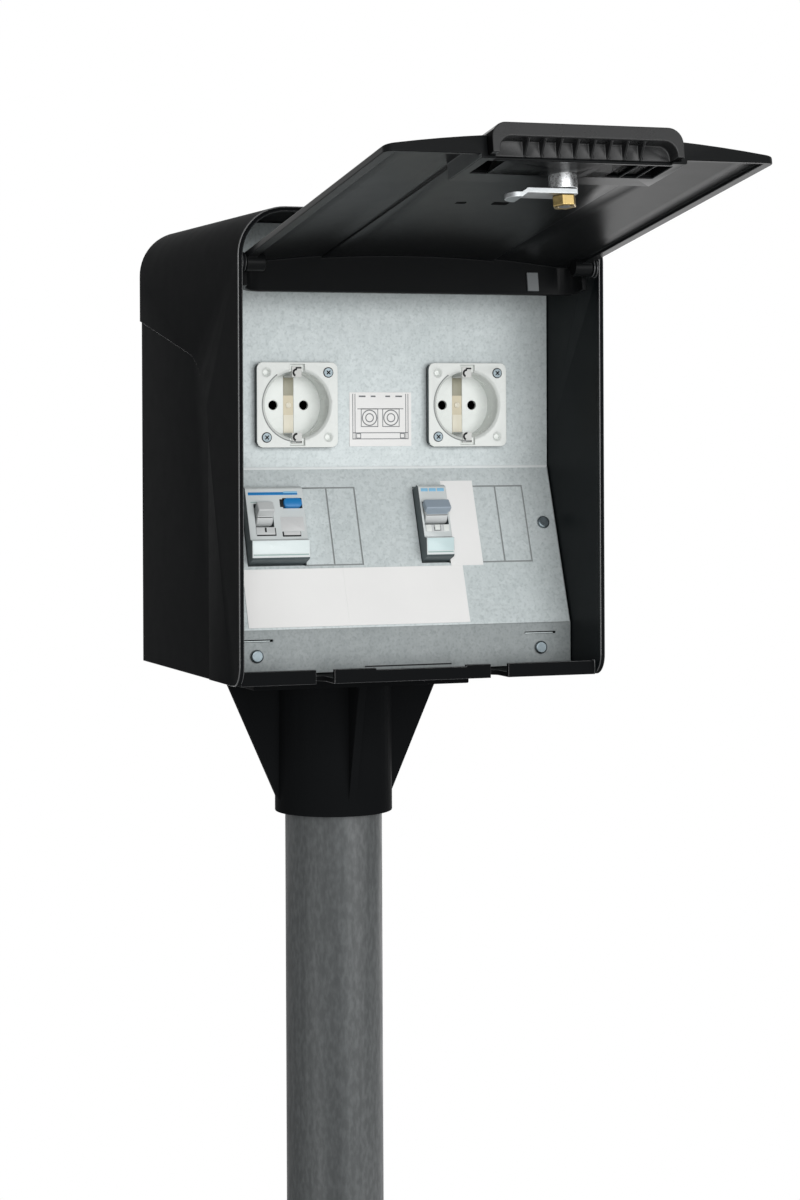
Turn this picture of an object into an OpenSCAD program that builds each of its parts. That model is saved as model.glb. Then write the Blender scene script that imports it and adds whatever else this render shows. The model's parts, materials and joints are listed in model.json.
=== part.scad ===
// Garden socket post: a moulded box on a steel pole.
// Two sockets and two breakers stand behind a lid that lifts up.
// Millimetres, +Z up, the front faces -Y. The origin is the centre of the pole's foot.
// The lid is drawn open, as it stands in use.

/* [Pole and collar] */
// outside diameter of the steel pole
pole_d = 60.3; // [48:0.1:76]
// wall thickness of the pole
pole_wall = 2.9; // [1.5:0.1:4]
// length of the pole from its foot to the underside of the box
pole_l = 900; // [400:10:1500]
// distance from the box's back to the pole's axis
pole_in = 45; // [42:1:80]
// outside diameter of the collar's tube
collar_d = 73; // [66:0.5:90]
// height of the collar below the box
collar_h = 93; // [60:1:140]
// gap between the pole and the collar
collar_gap = 0.2; // [0.1:0.1:0.8]
// width of the collar's flange
flange_w = 138; // [110:1:160]
// how far the flange reaches in front of the pole's axis
flange_front = 56; // [50:1:75]
// distance from the box's back to the flange
flange_in = 2; // [1:0.5:5]
// height of the flange's skirt
flange_h = 12; // [8:1:20]
// thickness of the flange's top plate and skirt
flange_t = 4; // [3:0.5:6]
// thickness of the collar's fins
fin_t = 5; // [3:0.5:8]
// length of plain tube left below the fins
fin_clear = 6; // [3:1:20]
// distance of the collar's four bolts from the flange's edges
collar_bolt_in = 15; // [12:1:18]
// diameter of those bolts
collar_bolt_d = 6; // [5:1:8]
// diameter of the two screws that clamp the pole
clamp_screw_d = 8; // [6:1:10]

/* [Box] */
// outside width
box_w = 222; // [200:1:260]
// outside height
box_h = 268; // [250:1:320]
// outside depth
box_d = 210; // [195:1:260]
// wall thickness
wall_t = 3; // [2.5:0.1:4]
// radius of the two upper corners
top_r = 28; // [15:1:40]
// radius of the side walls' lower front corners
front_r = 12; // [4:1:25]
// depth of the step moulded into each side
step_depth = 1.2; // [0.5:0.1:1.5]
// depth of the plain band in front of that step
step_front = 60; // [40:1:90]
// height of the step at the back
step_back_z = 212; // [150:1:230]
// slope of the step's upper edge, in degrees
step_slope = 12; // [0:1:20]
// radius of the step's corner
step_r = 50; // [20:1:60]
// diameter of the cable hole over the pole
cable_hole_d = 46; // [25:1:50]
// gap around the back cover
cover_gap = 0.3; // [0.1:0.1:1]
// diameter of the small screws in the box
screw_d = 4; // [3:0.5:5]

/* [Floor lip] */
// distance from the front rim to the lip
lip_y = 8; // [6:0.5:9]
// height of the lip
lip_h = 8; // [5:0.1:12]
// thickness of the lip
lip_t = 3; // [2:0.5:3]
// width of each cable notch
notch_w = 11; // [8:1:16]
// depth of each cable notch, back from the lip
notch_d = 20; // [12:1:28]
// distance between the two cable notches
notch_pitch = 106; // [90:1:130]
// how far the pair of notches stands left of the middle
notch_shift = 5; // [0:1:10]
// width of the slot that the lock's cam drops into
strike_w = 55; // [50:1:70]
// depth of that slot
strike_d = 18; // [12:1:24]

/* [Panel] */
// sheet thickness
panel_t = 1.5; // [1:0.1:2]
// distance from the front rim to the upper face
panel_y = 76; // [70:1:90]
// height of the bend under the sockets
bend_z = 121; // [115:1:126]
// distance from the front rim to the foot
foot_y = 42; // [38:1:50]
// height of the bend above the foot
foot_z = 29; // [24:1:34]
// gap between the panel and the box
panel_gap = 0.5; // [0.3:0.1:2]
// distance from the side walls to the screws in the foot
foot_screw_in = 20; // [14:1:28]
// height of the screws in the foot
foot_screw_z = 14; // [10:1:16]

/* [Sockets] */
// width of the square face
socket_w = 50; // [46:0.5:54]
// distance from the side walls to the middles of the sockets
socket_in = 54.5; // [50:0.5:60]
// height of the sockets' centre
socket_z = 158; // [150:1:180]
// thickness of the face plate
socket_face_t = 3; // [2.5:0.5:6]
// thickness of the rubber seal behind the face plate
seal_t = 3; // [1:0.5:4]
// how far the seal stands in from the face plate's edge
seal_in = 0.6; // [0.2:0.1:2]
// corner radius of the face
socket_r = 4; // [1:0.5:8]
// diameter of the plug recess
recess_d = 39.5; // [38:0.5:40]
// diameter of the bevelled mouth of the recess
mouth_d = 42.5; // [41:0.5:44]
// depth of the plug recess
recess_depth = 17.5; // [15:0.5:20]
// wall of the recess cup
cup_t = 2; // [1.5:0.5:3]
// depth of the base behind the recess
base_depth = 13; // [10:1:20]
// distance between the fixing screws
socket_screw_pitch = 38; // [36:0.5:40]
// distance between the two pin holes
pin_pitch = 19; // [19:0.1:19.5]
// diameter of the pin holes
pin_hole_d = 5.5; // [5:0.1:6]
// width of the earth clips
clip_w = 6; // [4:0.5:8]
// width of the beige bridge between the pins
bridge_w = 6.2; // [4:0.2:9]

/* [Breakers] */
// width of one module
module_w = 17.5; // [17:0.5:18]
// modules in each group
group_modules = 4; // [3:1:4]
// height of the windows along the slope
window_h = 47.5; // [45.5:0.5:50]
// height of the nose along the slope
nose_h = 45; // [40:0.5:45]
// how far the nose stands out of the panel
nose_out = 9; // [7:0.5:12]
// how far the cover on the nose's lower part stands out beyond it
cover_out = 3; // [1:0.5:5]
// height of that cover along the slope
cover_h = 12; // [10:0.5:17]
// how far the cover's lower edge stands out of the panel
cover_low = 9; // [5:0.5:11]
// height of the body behind the panel
breaker_h = 85; // [70:1:86]
// depth of the body behind the panel
breaker_d = 43; // [36:1:46]
// gap between the body and the panel
breaker_gap = 2; // [1:0.5:4]
// width of the residual-current breaker's toggle
rcbo_toggle_w = 10; // [6:0.5:12]
// width of the single-pole breaker's toggle
mcb_toggle_w = 14; // [8:0.5:15]
// how far that toggle's lever is wider than its drum
mcb_lever_more = 2; // [0:0.5:3]
// radius of a toggle's drum
toggle_r = 5.5; // [4:0.5:6]
// length of a toggle's lever beyond its drum
toggle_l = 4.2; // [3:0.1:12]
// lean of a toggle either side of straight, in degrees
toggle_lean = 25; // [15:1:35]
// width of the test button
button_w = 11; // [6:0.5:13]
// height of the test button
button_h = 5.5; // [4:0.5:6]
// how far the test button stands out
button_out = 1.8; // [1.4:0.1:3]
// width of the mounting rail
rail_w = 35; // [30:1:36]
// depth of the mounting rail
rail_d = 7.5; // [6:0.5:15]
// sheet thickness of the mounting rail
rail_t = 1; // [0.8:0.1:1.5]
// gap between the mounting rail's ends and the side walls
rail_gap = 5; // [2:0.5:8]
// distance from the side walls to the rail posts
post_in = 9; // [8:0.5:12]
// diameter of the rail posts
post_d = 9; // [8:0.5:12]

/* [Labels] */
// thickness of the labels
label_t = 0.4; // [0.3:0.1:0.8]
// gap between the sockets and the label between them
plan_label_gap = 9; // [4:0.5:14]
// height of that label
plan_label_h = 32; // [20:1:50]
// width and height of the long label, left part
left_label = [61, 35]; // [20:1:90]
// width and height of the long label, right part
right_label = [75, 35]; // [20:1:90]
// width and height of the blanking strip
strip_label = [20.5, 53]; // [15:0.5:70]

/* [Terminal block] */
// width, depth and height of the block
terminal = [72, 22, 26]; // [20:1:90]
// height of the block on the back cover
terminal_z = 46; // [30:1:120]

/* [Lid] */
// gap between the lid and the side walls
lid_side_gap = 3; // [2.5:0.5:8]
// height of the closed lid's free end above the box's underside
lid_foot = 3.4; // [3.4:0.1:30]
// length beyond the hinge, inside the box
lid_upper = 23; // [20:0.5:24]
// thickness along the sides
lid_edge_t = 3.5; // [3:0.1:5]
// rise of the domed middle above the sides
lid_rise = 8; // [4:0.5:9]
// thickness of the lid beside its middle
lid_skin = 2.5; // [2:0.1:3.4]
// thickness of the lid's middle
lid_mid_skin = 3.7; // [3.5:0.1:5]
// width of the solid edge
lid_border = 6; // [4:0.5:10]
// radius of the corners at the hinge
lid_upper_r = 14; // [12:0.5:18]
// radius of the corners at the free end
lid_free_r = 5; // [2:0.5:10]
// thickness of the walls at both ends
lid_end_t = 3; // [2:0.5:4]
// height of the wall at the hinge end
lid_wall_h = 14; // [8:0.5:16]
// tilt of the open lid above level, in degrees
lid_tilt = 9.3; // [0:0.1:15]
// distance from the front rim to the hinge axis
hinge_y = 6; // [6:0.5:8]
// distance from the box's top to the hinge axis
hinge_down = 31.1; // [30:0.1:31.5]
// distance from the hinge axis to the plane of the lid's edges
hinge_drop = 2; // [1:0.1:2.5]
// diameter of the hinge pins
hinge_pin_d = 5; // [4:0.5:6]
// outside diameter of the hinge bosses on the box
hinge_boss_d = 11; // [9:0.5:12]
// gap around parts that turn
turn_gap = 0.3; // [0.3:0.05:0.5]

/* [Handle] */
// width
handle_w = 103; // [80:1:120]
// height above the plane of the lid's edges
handle_h = 15; // [13:0.5:16]
// length on the lid
handle_l = 42; // [40:1:60]
// how far the handle passes the lid's free end
handle_out = 5.7; // [3:0.1:6]
// radius of the handle's ends
handle_r = 8; // [4:0.5:13]
// thickness of the handle's end walls
handle_t = 4; // [3:0.5:6]
// height of the bar over the finger hollow
bar_h = 7.2; // [5:0.1:8]
// depth of the finger hollow
hollow_d = 9; // [7:0.5:10]
// radius of the hollow's upper corners
hollow_r = 6.5; // [2:0.5:6.5]
// gap around the handle
handle_gap = 0.2; // [0.1:0.05:0.5]
// thickness of the shelf under the handle
shelf_t = 1.5; // [1:0.1:2]
// how far that shelf stands inside the plane of the lid's edges
shelf_low = 2; // [1:0.1:2.5]
// number of ribs in the hollow
rib_count = 8; // [4:1:10]
// distance between the ribs
rib_pitch = 8.9; // [6:0.1:10]
// thickness of the ribs
rib_t = 1.4; // [1:0.1:2.5]

/* [Lock] */
// distance from the lid's free end to the lock's axis
lock_back = 29.5; // [26:0.5:32]
// diameter of the sleeve
sleeve_d = 14.4; // [12:0.1:18]
// how far the sleeve reaches inside the plane of the lid's edges
sleeve_in = 9.5; // [8:0.5:11]
// diameter of the barrel
barrel_d = 10; // [8:0.5:11]
// width of the cam
cam_w = 12; // [8:0.5:14]
// thickness of the cam
cam_t = 3; // [2:0.5:3.5]
// reach of the cam from the lock's axis
cam_l = 32; // [28:0.5:33]
// length of the cam's bent end
cam_hook = 7; // [4:0.5:9]
// how far the bent end steps in
cam_step = 2.2; // [1:0.1:5]
// width of the brass nut across its flats
nut_w = 11; // [10:0.5:14]
// height of the brass nut
nut_h = 5.5; // [5:0.5:8]

/* [Hidden] */
$fn = 64;
eps = 0.01;
black = [0.05, 0.05, 0.055];
zinc = [0.72, 0.75, 0.75];
steel = [0.45, 0.46, 0.47];
white = [0.93, 0.93, 0.91];
beige = [0.86, 0.83, 0.74];
light_grey = [0.78, 0.79, 0.79];
blue = [0.1, 0.35, 0.75];
slate = [0.42, 0.5, 0.58];
brass = [0.8, 0.62, 0.25];
chrome = [0.8, 0.81, 0.82];
paper = [0.95, 0.95, 0.93];

inner_w = box_w - 2 * wall_t;
pole_setback = box_d - pole_in;
socket_pitch = inner_w - 2 * socket_in;
pole_r = pole_d / 2;
collar_bore_r = pole_r + collar_gap;
fin_drop = collar_h - fin_clear;
flange_back = pole_in - flange_in;
fin_reach = [flange_w / 2, flange_back, flange_w / 2, flange_front];
clamp_up = 14;
bolt_head_w = 1.8 * collar_bolt_d;
bolt_head_t = 0.65 * collar_bolt_d;
bolt_tail = 6;
bolt_nut_w = 1.9 * collar_bolt_d;
bolt_nut_t = 0.8 * collar_bolt_d;

// hinge in the box
hinge_z = box_h - hinge_down;
lid_w = inner_w - 2 * lid_side_gap;
lid_l = hinge_z - lid_foot;
boss_l = lid_side_gap - 0.5;
hinge_skin = 0.6;
pin_end_gap = 0.2;
pin_in = 9;
pin_out = boss_l + wall_t - hinge_skin - pin_end_gap;
detent_d = 5;
detent_y = hinge_y + 21;
detent_z = hinge_z - 7.3;

// bosses and ribs in the box
cover_boss = 12;
cover_boss_l = 16;
cover_screw_l = 10;
cover_hole_l = cover_screw_l + 2;
cover_boss_z = [22, box_h - top_r - cover_boss];
foot_boss_w = 14;
foot_boss_d = 14;
foot_boss_h = foot_screw_z + 6;
foot_screw_pitch = inner_w - 2 * foot_screw_in;
foot_slot_w = 20;
foot_slot_h = 1.4;
foot_slot_up = 8;
stop_deep = 3;
stop_out = 4;
stop_low = bend_z + 12;
stop_high = box_h - top_r - 8;
head_d = 1.9 * screw_d;
head_h = 0.6 * screw_d;

// slope of the panel's lower face
slope = atan((panel_y - foot_y) / (bend_z - foot_z));
breaker_lift = 12;
slope_z = (bend_z + foot_z) / 2 + breaker_lift;
slope_y = foot_y + (slope_z - foot_z) * tan(slope);
bend_shift = panel_t * tan(slope / 2);
group_w = group_modules * module_w;
rcbo_w = 2 * module_w;
rcbo_x = -socket_pitch / 2 - group_w / 2 + rcbo_w / 2;
mcb_x = socket_pitch / 2 - group_w / 2 + module_w / 2;
window_gap = 0.3;
score_w = 0.8;
score_d = 0.5;
rail_n = -panel_t - breaker_gap - breaker_d;
rail_l = inner_w - 2 * rail_gap;
rail_crown = 24;
post_pitch = inner_w - 2 * post_in;
post_screw_l = 8;
terminal_ways = 5;
terminal_hole_d = 6;
terminal_hole_l = 12;
nose_bevel = 2;
cover_bevel = 1;
toggle_v = 4.1;
toggle_sunk = 3;
toggle_n = nose_out - toggle_sunk;
toggle_gap = 0.5;
lever_t = 7;
// height on the lever that stays clear of the nose as it swings
lever_clear = (toggle_sunk + toggle_gap) / cos(toggle_lean) + lever_t / 2 * tan(toggle_lean);
rcbo_toggle_x = rcbo_x - module_w / 2 + 1;
button_x = rcbo_x + module_w / 2 + 1.6;
button_v = 11.5;
button_sunk = 7;
button_seat = nose_out - button_sunk;
button_travel = 1.4;

// sockets
floor_t = 2.5;
mouth_bevel = 1.5;
bridge_l = recess_d - 5;
bridge_t = 1.6;
bridge_sunk = 0.4;
contact_t = 0.8;
cup_gap = 0.2;
seal_gap = 0.3;
socket_screw_d = screw_d - 1;
socket_head_d = 1.4 * screw_d;
socket_cap_h = 0.15 * screw_d;
sink_h = 1.5;
sink_gap = 0.1;
socket_screw_l = seal_t + socket_face_t + panel_t + 6;
clip_t = 1;
clip_in = 3.5;
clip_set = 1.2;
clip_notch_w = 9;
clip_notch_h = 4;
clip_end_gap = 1;
contact_tail = 4;
// heights of its floors above the panel's face
face_n = seal_t + socket_face_t;
recess_n = face_n - recess_depth;
base_n = recess_n - floor_t - base_depth;
bridge_n = recess_n - bridge_t;

// labels
label_in = 15.5;
label_top = -window_h / 2 - 2;
plan_label_w = socket_pitch - socket_w - 2 * plan_label_gap;
plan_label_z = socket_z - 8.5;

// radius of the lid's domed face
dome_r = (pow(lid_w / 2, 2) + pow(lid_rise, 2)) / (2 * lid_rise);
dome_top = lid_edge_t + lid_rise;
dome_steps = 720;
middle_w = handle_w + 2;
hollow_w = handle_w - 2 * handle_t;
ceiling_z = handle_h - bar_h;
handle_base = shelf_t - shelf_low;
ledge_w = 4;
rib_set = 1.5;
pocket_near = 13;
pocket_front = 6;
pocket_back = 30;
pocket_cells = 4;
divider_t = 1.2;
cam_tail = 5.3;
lock_y = -(lid_l - lock_back);
cam_n = -sleeve_in - 0.2;
square_w = 7;
thread_d = square_w - 1;
rim_w = 2.5;
rim_t = 1.5;
key_slot = [7, 1.2];
key_slot_l = 6;
lid_clip = [7, 1.5, 11];
lid_clip_x = lid_w / 2 - 32;
lid_clip_up = 2;
// diameter of the lid's hinge lugs, just under the face of its edge
lug_d = 2 * (hinge_drop + lid_edge_t - 0.5);

// which piece to draw, or all of them

// places

// the box: X from its middle, Y from its front rim, Z from its underside
module in_box() {
    translate([0, -pole_setback, pole_l])
        children();
}

// the panel's slope: x across, y up the slope, z out of the panel's face
module on_slope() {
    in_box()
        translate([0, slope_y, slope_z])
            rotate([90 - slope, 0, 0])
                children();
}

// the open lid: x across, y back from the hinge axis, z out of the lid from the plane of its edges
module on_lid() {
    in_box()
        translate([0, hinge_y, hinge_z])
            rotate([-lid_tilt, 0, 0])
                translate([0, 0, hinge_drop])
                    children();
}

// one socket: x across, y up, z out of the panel's face
module at_socket(side) {
    in_box()
        translate([side * socket_pitch / 2, panel_y, socket_z])
            rotate([90, 0, 0])
                children();
}

// a solid from y0 to y1 whose section is drawn in x and z
module along_y(y0, y1) {
    translate([0, y1, 0])
        rotate([90, 0, 0])
            linear_extrude(y1 - y0)
                children();
}

// a solid from x0 to x1 whose section is drawn in y and z
module along_x(x0, x1) {
    translate([x0, 0, 0])
        rotate([90, 0, 90])
            linear_extrude(x1 - x0)
                children();
}

// both sides of the middle
module both_sides() {
    children();
    mirror([1, 0, 0])
        children();
}

// a rectangle about its middle with rounded corners
module rounded(w, h, r) {
    square([w - 2 * r, h], center = true);
    square([w, h - 2 * r], center = true);
    for (x = [-1, 1], y = [-1, 1])
        translate([x * (w / 2 - r), y * (h / 2 - r)])
            circle(r);
}

// the box's outline, standing on its underside
module box_outline(w, h, r) {
    translate([-w / 2, 0])
        square([w, h - r]);
    translate([-w / 2 + r, h - r - eps])
        square([w - 2 * r, r + eps]);
    for (x = [-1, 1])
        translate([x * (w / 2 - r), h - r])
            circle(r);
}

// the outline of the space inside the walls, brought in all round by a gap
module inner_outline(gap) {
    translate([0, wall_t + gap])
        box_outline(inner_w - 2 * gap, box_h - 2 * wall_t - 2 * gap, top_r - wall_t - gap);
}

// the area of the side wall that is stepped in
module step_outline() {
    front_z = step_back_z - (box_d - step_front) * tan(step_slope);
    centre = [
        step_front + step_r,
        front_z + step_r * tan(step_slope) - step_r / cos(step_slope)
    ];
    touch = centre + step_r * [-sin(step_slope), cos(step_slope)];
    polygon([
        [step_front, -1],
        [box_d + 1, -1],
        [box_d + 1, step_back_z],
        touch,
        centre,
        [step_front, centre[1]]
    ]);
    translate(centre)
        circle(step_r);
}

// a screw with its head towards +z and its tip below
module screw(d, head_w, head_t, length) {
    cylinder(d = head_w, h = head_t);
    translate([0, 0, -length])
        cylinder(d = d, h = length);
}

// pole and collar

module pole() {
    color(steel)
        difference() {
            cylinder(d = pole_d, h = pole_l);
            translate([0, 0, -1])
                cylinder(d = pole_d - 2 * pole_wall, h = pole_l + 2);
        }
}

// a fin that reaches out to the flange's edge
module fin_outline(reach) {
    polygon([
        [0, -flange_t],
        [reach, -flange_t],
        [reach, -flange_h],
        [collar_d / 2 - 1, -fin_drop],
        [0, -fin_drop]
    ]);
}

// the flange's plan, brought in all round by a margin
module flange_plan(margin) {
    translate([-flange_w / 2 + margin, -flange_front + margin])
        square([flange_w - 2 * margin, flange_front + flange_back - 2 * margin]);
}

module collar() {
    color(black)
        translate([0, 0, pole_l])
            difference() {
                union() {
                    translate([0, 0, -collar_h])
                        cylinder(d = collar_d, h = collar_h);
                    for (i = [0:3])
                        rotate([90, 0, 90 * i])
                            translate([0, 0, -fin_t / 2])
                                linear_extrude(fin_t)
                                    fin_outline(fin_reach[i]);
                    difference() {
                        translate([0, 0, -flange_h])
                            linear_extrude(flange_h)
                                flange_plan(0);
                        translate([0, 0, -flange_h - 1])
                            linear_extrude(flange_h - flange_t + 1)
                                flange_plan(flange_t);
                    }
                }
                translate([0, 0, -collar_h - 1])
                    cylinder(r = collar_bore_r, h = collar_h + 2);
                at_collar_bolts()
                    translate([0, 0, -flange_h])
                        cylinder(d = collar_bolt_d, h = flange_h + 1);
                at_clamp_screws()
                    cylinder(d = clamp_screw_d, h = collar_d);
            }
}

module at_collar_bolts() {
    for (x = [-1, 1], y = [-flange_front + collar_bolt_in, flange_back - collar_bolt_in])
        translate([x * (flange_w / 2 - collar_bolt_in), y, 0])
            children();
}

// the clamp screws press on the pole from behind, z pointing out from its axis
module at_clamp_screws() {
    for (turn = [45, 135])
        rotate([0, 0, turn])
            translate([0, 0, -collar_h + fin_clear + clamp_up])
                rotate([0, 90, 0])
                    children();
}

module collar_bolts() {
    color(chrome)
        translate([0, 0, pole_l])
            at_collar_bolts()
                translate([0, 0, wall_t])
                    screw(collar_bolt_d, bolt_head_w, bolt_head_t, wall_t + flange_t + bolt_tail);
}

module collar_nuts() {
    color(chrome)
        translate([0, 0, pole_l - flange_t])
            at_collar_bolts()
                difference() {
                    translate([0, 0, -bolt_nut_t])
                        cylinder(d = bolt_nut_w, h = bolt_nut_t, $fn = 6);
                    translate([0, 0, -collar_bolt_d])
                        cylinder(d = collar_bolt_d, h = 2 * collar_bolt_d);
                }
}

module clamp_screws() {
    color(chrome)
        translate([0, 0, pole_l])
            at_clamp_screws()
                difference() {
                    translate([0, 0, pole_r])
                        cylinder(d = clamp_screw_d, h = collar_d / 2 - pole_r + 2);
                    translate([0, 0, collar_d / 2 - 1])
                        cylinder(d = clamp_screw_d / 2, h = 4, $fn = 6);
                }
}

// box

module at_cover_screws() {
    for (x = [-1, 1], z = cover_boss_z)
        translate([x * (inner_w - cover_boss) / 2, box_d, z])
            rotate([-90, 0, 0])
                children();
}

module at_foot_screws() {
    for (x = [-1, 1])
        translate([x * foot_screw_pitch / 2, foot_y, foot_screw_z])
            rotate([90, 0, 0])
                children();
}

// side walls and top, with the lower front corners rounded
module housing_walls() {
    difference() {
        along_y(0, box_d)
            box_outline(box_w, box_h, top_r);
        along_y(-1, box_d + 1)
            translate([0, -1])
                box_outline(inner_w, box_h - wall_t + 1, top_r - wall_t);
        along_x(-box_w, box_w)
            difference() {
                translate([-1, -1])
                    square(front_r + 1);
                translate([front_r, front_r])
                    circle(front_r);
            }
        both_sides()
            along_x(box_w / 2 - step_depth, box_w)
                step_outline();
    }
}

module housing_floor() {
    difference() {
        union() {
            translate([-inner_w / 2 - eps, lip_y, 0])
                cube([inner_w + 2 * eps, box_d - lip_y, wall_t]);
            translate([-inner_w / 2 - eps, lip_y, 0])
                cube([inner_w + 2 * eps, lip_t, lip_h]);
        }
        for (x = [-1, 1])
            translate([x * notch_pitch / 2 - notch_shift, lip_y, -1]) {
                translate([-notch_w / 2, -1, 0])
                    cube([notch_w, notch_d - notch_w / 2 + 1, lip_h + 2]);
                translate([0, notch_d - notch_w / 2, 0])
                    cylinder(d = notch_w, h = lip_h + 2);
            }
        translate([-strike_w / 2, lip_y + lip_t, -1])
            cube([strike_w, strike_d, wall_t + 2]);
        translate([-strike_w / 2, lip_y - 1, lip_h - 1])
            cube([strike_w, lip_t + 2, 2]);
        translate([0, pole_setback, -1]) {
            cylinder(d = cable_hole_d, h = wall_t + 2);
            at_collar_bolts()
                cylinder(d = collar_bolt_d, h = wall_t + 2);
        }
    }
}

// bosses and ribs inside the box
module housing_bosses() {
    both_sides() {
        difference() {
            union() {
                along_x(inner_w / 2 - boss_l, inner_w / 2 + eps)
                    translate([hinge_y, hinge_z])
                        circle(d = hinge_boss_d);
                along_x(inner_w / 2 - boss_l, inner_w / 2 + eps)
                    translate([detent_y, detent_z])
                        circle(d = detent_d);
            }
            along_x(0, inner_w / 2)
                translate([hinge_y, hinge_z])
                    circle(d = hinge_pin_d + 2 * turn_gap);
        }
        translate([inner_w / 2 - stop_out, panel_y + panel_t, stop_low])
            cube([stop_out + eps, stop_deep, stop_high - stop_low]);
    }
    difference() {
        for (x = [-1, 1])
            translate([x * foot_screw_pitch / 2 - foot_boss_w / 2, foot_y + panel_t, wall_t - eps])
                cube([foot_boss_w, foot_boss_d, foot_boss_h - wall_t]);
        at_foot_screws()
            translate([0, 0, -foot_boss_d])
                cylinder(d = screw_d, h = foot_boss_d);
    }
    difference() {
        at_cover_screws()
            translate([-cover_boss / 2 - eps, -cover_boss / 2, -wall_t - cover_boss_l])
                cube([cover_boss + 2 * eps, cover_boss, cover_boss_l]);
        at_cover_screws()
            translate([0, 0, -wall_t - cover_hole_l])
                cylinder(d = screw_d, h = cover_hole_l + wall_t + 1);
    }
}

module housing_shell() {
    color(black)
        in_box()
            difference() {
                union() {
                    housing_walls();
                    housing_floor();
                    housing_bosses();
                }
                both_sides()
                    along_x(inner_w / 2 - eps, inner_w / 2 + wall_t - hinge_skin)
                        translate([hinge_y, hinge_z])
                            circle(d = hinge_pin_d + 2 * turn_gap);
            }
}

module back_cover() {
    color(black)
        in_box()
            difference() {
                along_y(box_d - wall_t, box_d)
                    inner_outline(cover_gap);
                at_cover_screws()
                    translate([0, 0, -wall_t - 1])
                        cylinder(d = screw_d, h = wall_t + 2);
            }
}

module cover_screws() {
    color(chrome)
        in_box()
            at_cover_screws()
                screw(screw_d, head_d, head_h, wall_t + cover_screw_l);
}

// panel

module panel_profile() {
    polygon([
        [panel_y, box_h],
        [panel_y, bend_z],
        [foot_y, foot_z],
        [foot_y, wall_t + panel_gap],
        [foot_y + panel_t, wall_t + panel_gap],
        [foot_y + panel_t, foot_z - bend_shift],
        [panel_y + panel_t, bend_z - bend_shift],
        [panel_y + panel_t, box_h]
    ]);
}

// a scored outline on the face of the slope, for a blank that can be broken out
module score(x, w, h) {
    translate([x, 0, -score_d])
        linear_extrude(score_d + 1)
            difference() {
                square([w + score_w, h + score_w], center = true);
                square([w - score_w, h - score_w], center = true);
            }
}

module window(x, w) {
    translate([x - w / 2 - window_gap, -window_h / 2, -panel_t - 1])
        cube([w + 2 * window_gap, window_h, panel_t + 2]);
}

module mounting_panel() {
    color(zinc)
        difference() {
            in_box()
                intersection() {
                    along_x(-inner_w / 2 + panel_gap, inner_w / 2 - panel_gap)
                        panel_profile();
                    along_y(0, box_d)
                        inner_outline(panel_gap);
                }
            for (side = [-1, 1])
                at_socket(side)
                    translate([0, 0, -panel_t - 1]) {
                        cylinder(d = recess_d + 2 * cup_t + 2 * cup_gap, h = panel_t + 2);
                        at_square(socket_screw_pitch)
                            cylinder(d = socket_screw_d, h = panel_t + 2);
                    }
            on_slope() {
                window(rcbo_x, rcbo_w);
                window(mcb_x, module_w);
                for (i = [2:group_modules - 1])
                    score(-socket_pitch / 2 - group_w / 2 + (i + 0.5) * module_w, module_w, window_h);
                for (i = [1:group_modules - 1])
                    score(socket_pitch / 2 - group_w / 2 + (i + 0.5) * module_w, module_w, window_h);
                for (x = [-1, 1])
                    translate([x * post_pitch / 2, 0, -panel_t - 1])
                        cylinder(d = screw_d, h = panel_t + 2);
            }
            in_box() {
                at_foot_screws()
                    translate([0, 0, -panel_t - 1])
                        cylinder(d = screw_d, h = panel_t + 2);
                at_foot_screws()
                    translate([-foot_slot_w / 2, foot_slot_up, -panel_t - 1])
                        cube([foot_slot_w, foot_slot_h, panel_t + 2]);
            }
        }
}

module panel_screws() {
    color(chrome) {
        in_box()
            at_foot_screws()
                screw(screw_d, head_d, head_h, foot_boss_d);
        on_slope()
            for (x = [-1, 1])
                translate([x * post_pitch / 2, 0, 0])
                    screw(screw_d, head_d, head_h, panel_t + post_screw_l);
    }
}

// sockets

// the four corners of a square about the middle
module at_square(pitch) {
    for (x = [-1, 1], y = [-1, 1])
        translate([x * pitch / 2, y * pitch / 2, 0])
            children();
}

module at_pins() {
    for (x = [-1, 1])
        translate([x * pin_pitch / 2, 0, 0])
            children();
}

module socket_frame(side) {
    color(white)
        at_socket(side)
            difference() {
                union() {
                    translate([0, 0, seal_t])
                        linear_extrude(socket_face_t)
                            rounded(socket_w, socket_w, socket_r);
                    translate([0, 0, base_n])
                        cylinder(d = recess_d + 2 * cup_t, h = seal_t - base_n + eps);
                }
                translate([0, 0, recess_n])
                    cylinder(d = recess_d, h = recess_depth + 1);
                translate([0, 0, face_n - mouth_bevel])
                    cylinder(d1 = recess_d, d2 = mouth_d, h = mouth_bevel);
                translate([-bridge_w / 2, -bridge_l / 2, bridge_n])
                    cube([bridge_w, bridge_l, bridge_t + 1]);
                translate([0, 0, recess_n - floor_t - 1])
                    at_pins()
                        cylinder(d = pin_hole_d, h = floor_t + 2);
                translate([0, 0, base_n - 1])
                    at_pins()
                        cylinder(d = pin_hole_d + 2 * contact_t, h = base_depth + 1);
                at_square(socket_screw_pitch) {
                    cylinder(d = socket_screw_d, h = face_n + 1);
                    translate([0, 0, face_n - sink_h])
                        cylinder(d1 = socket_screw_d, d2 = socket_head_d, h = sink_h);
                }
                for (turn = [0, 180])
                    rotate([0, 0, turn])
                        translate([-clip_notch_w / 2, recess_d / 2 - clip_in, face_n - clip_set - clip_t])
                            cube([clip_notch_w, clip_in + clip_notch_h, clip_set + clip_t + 1]);
            }
}

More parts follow.
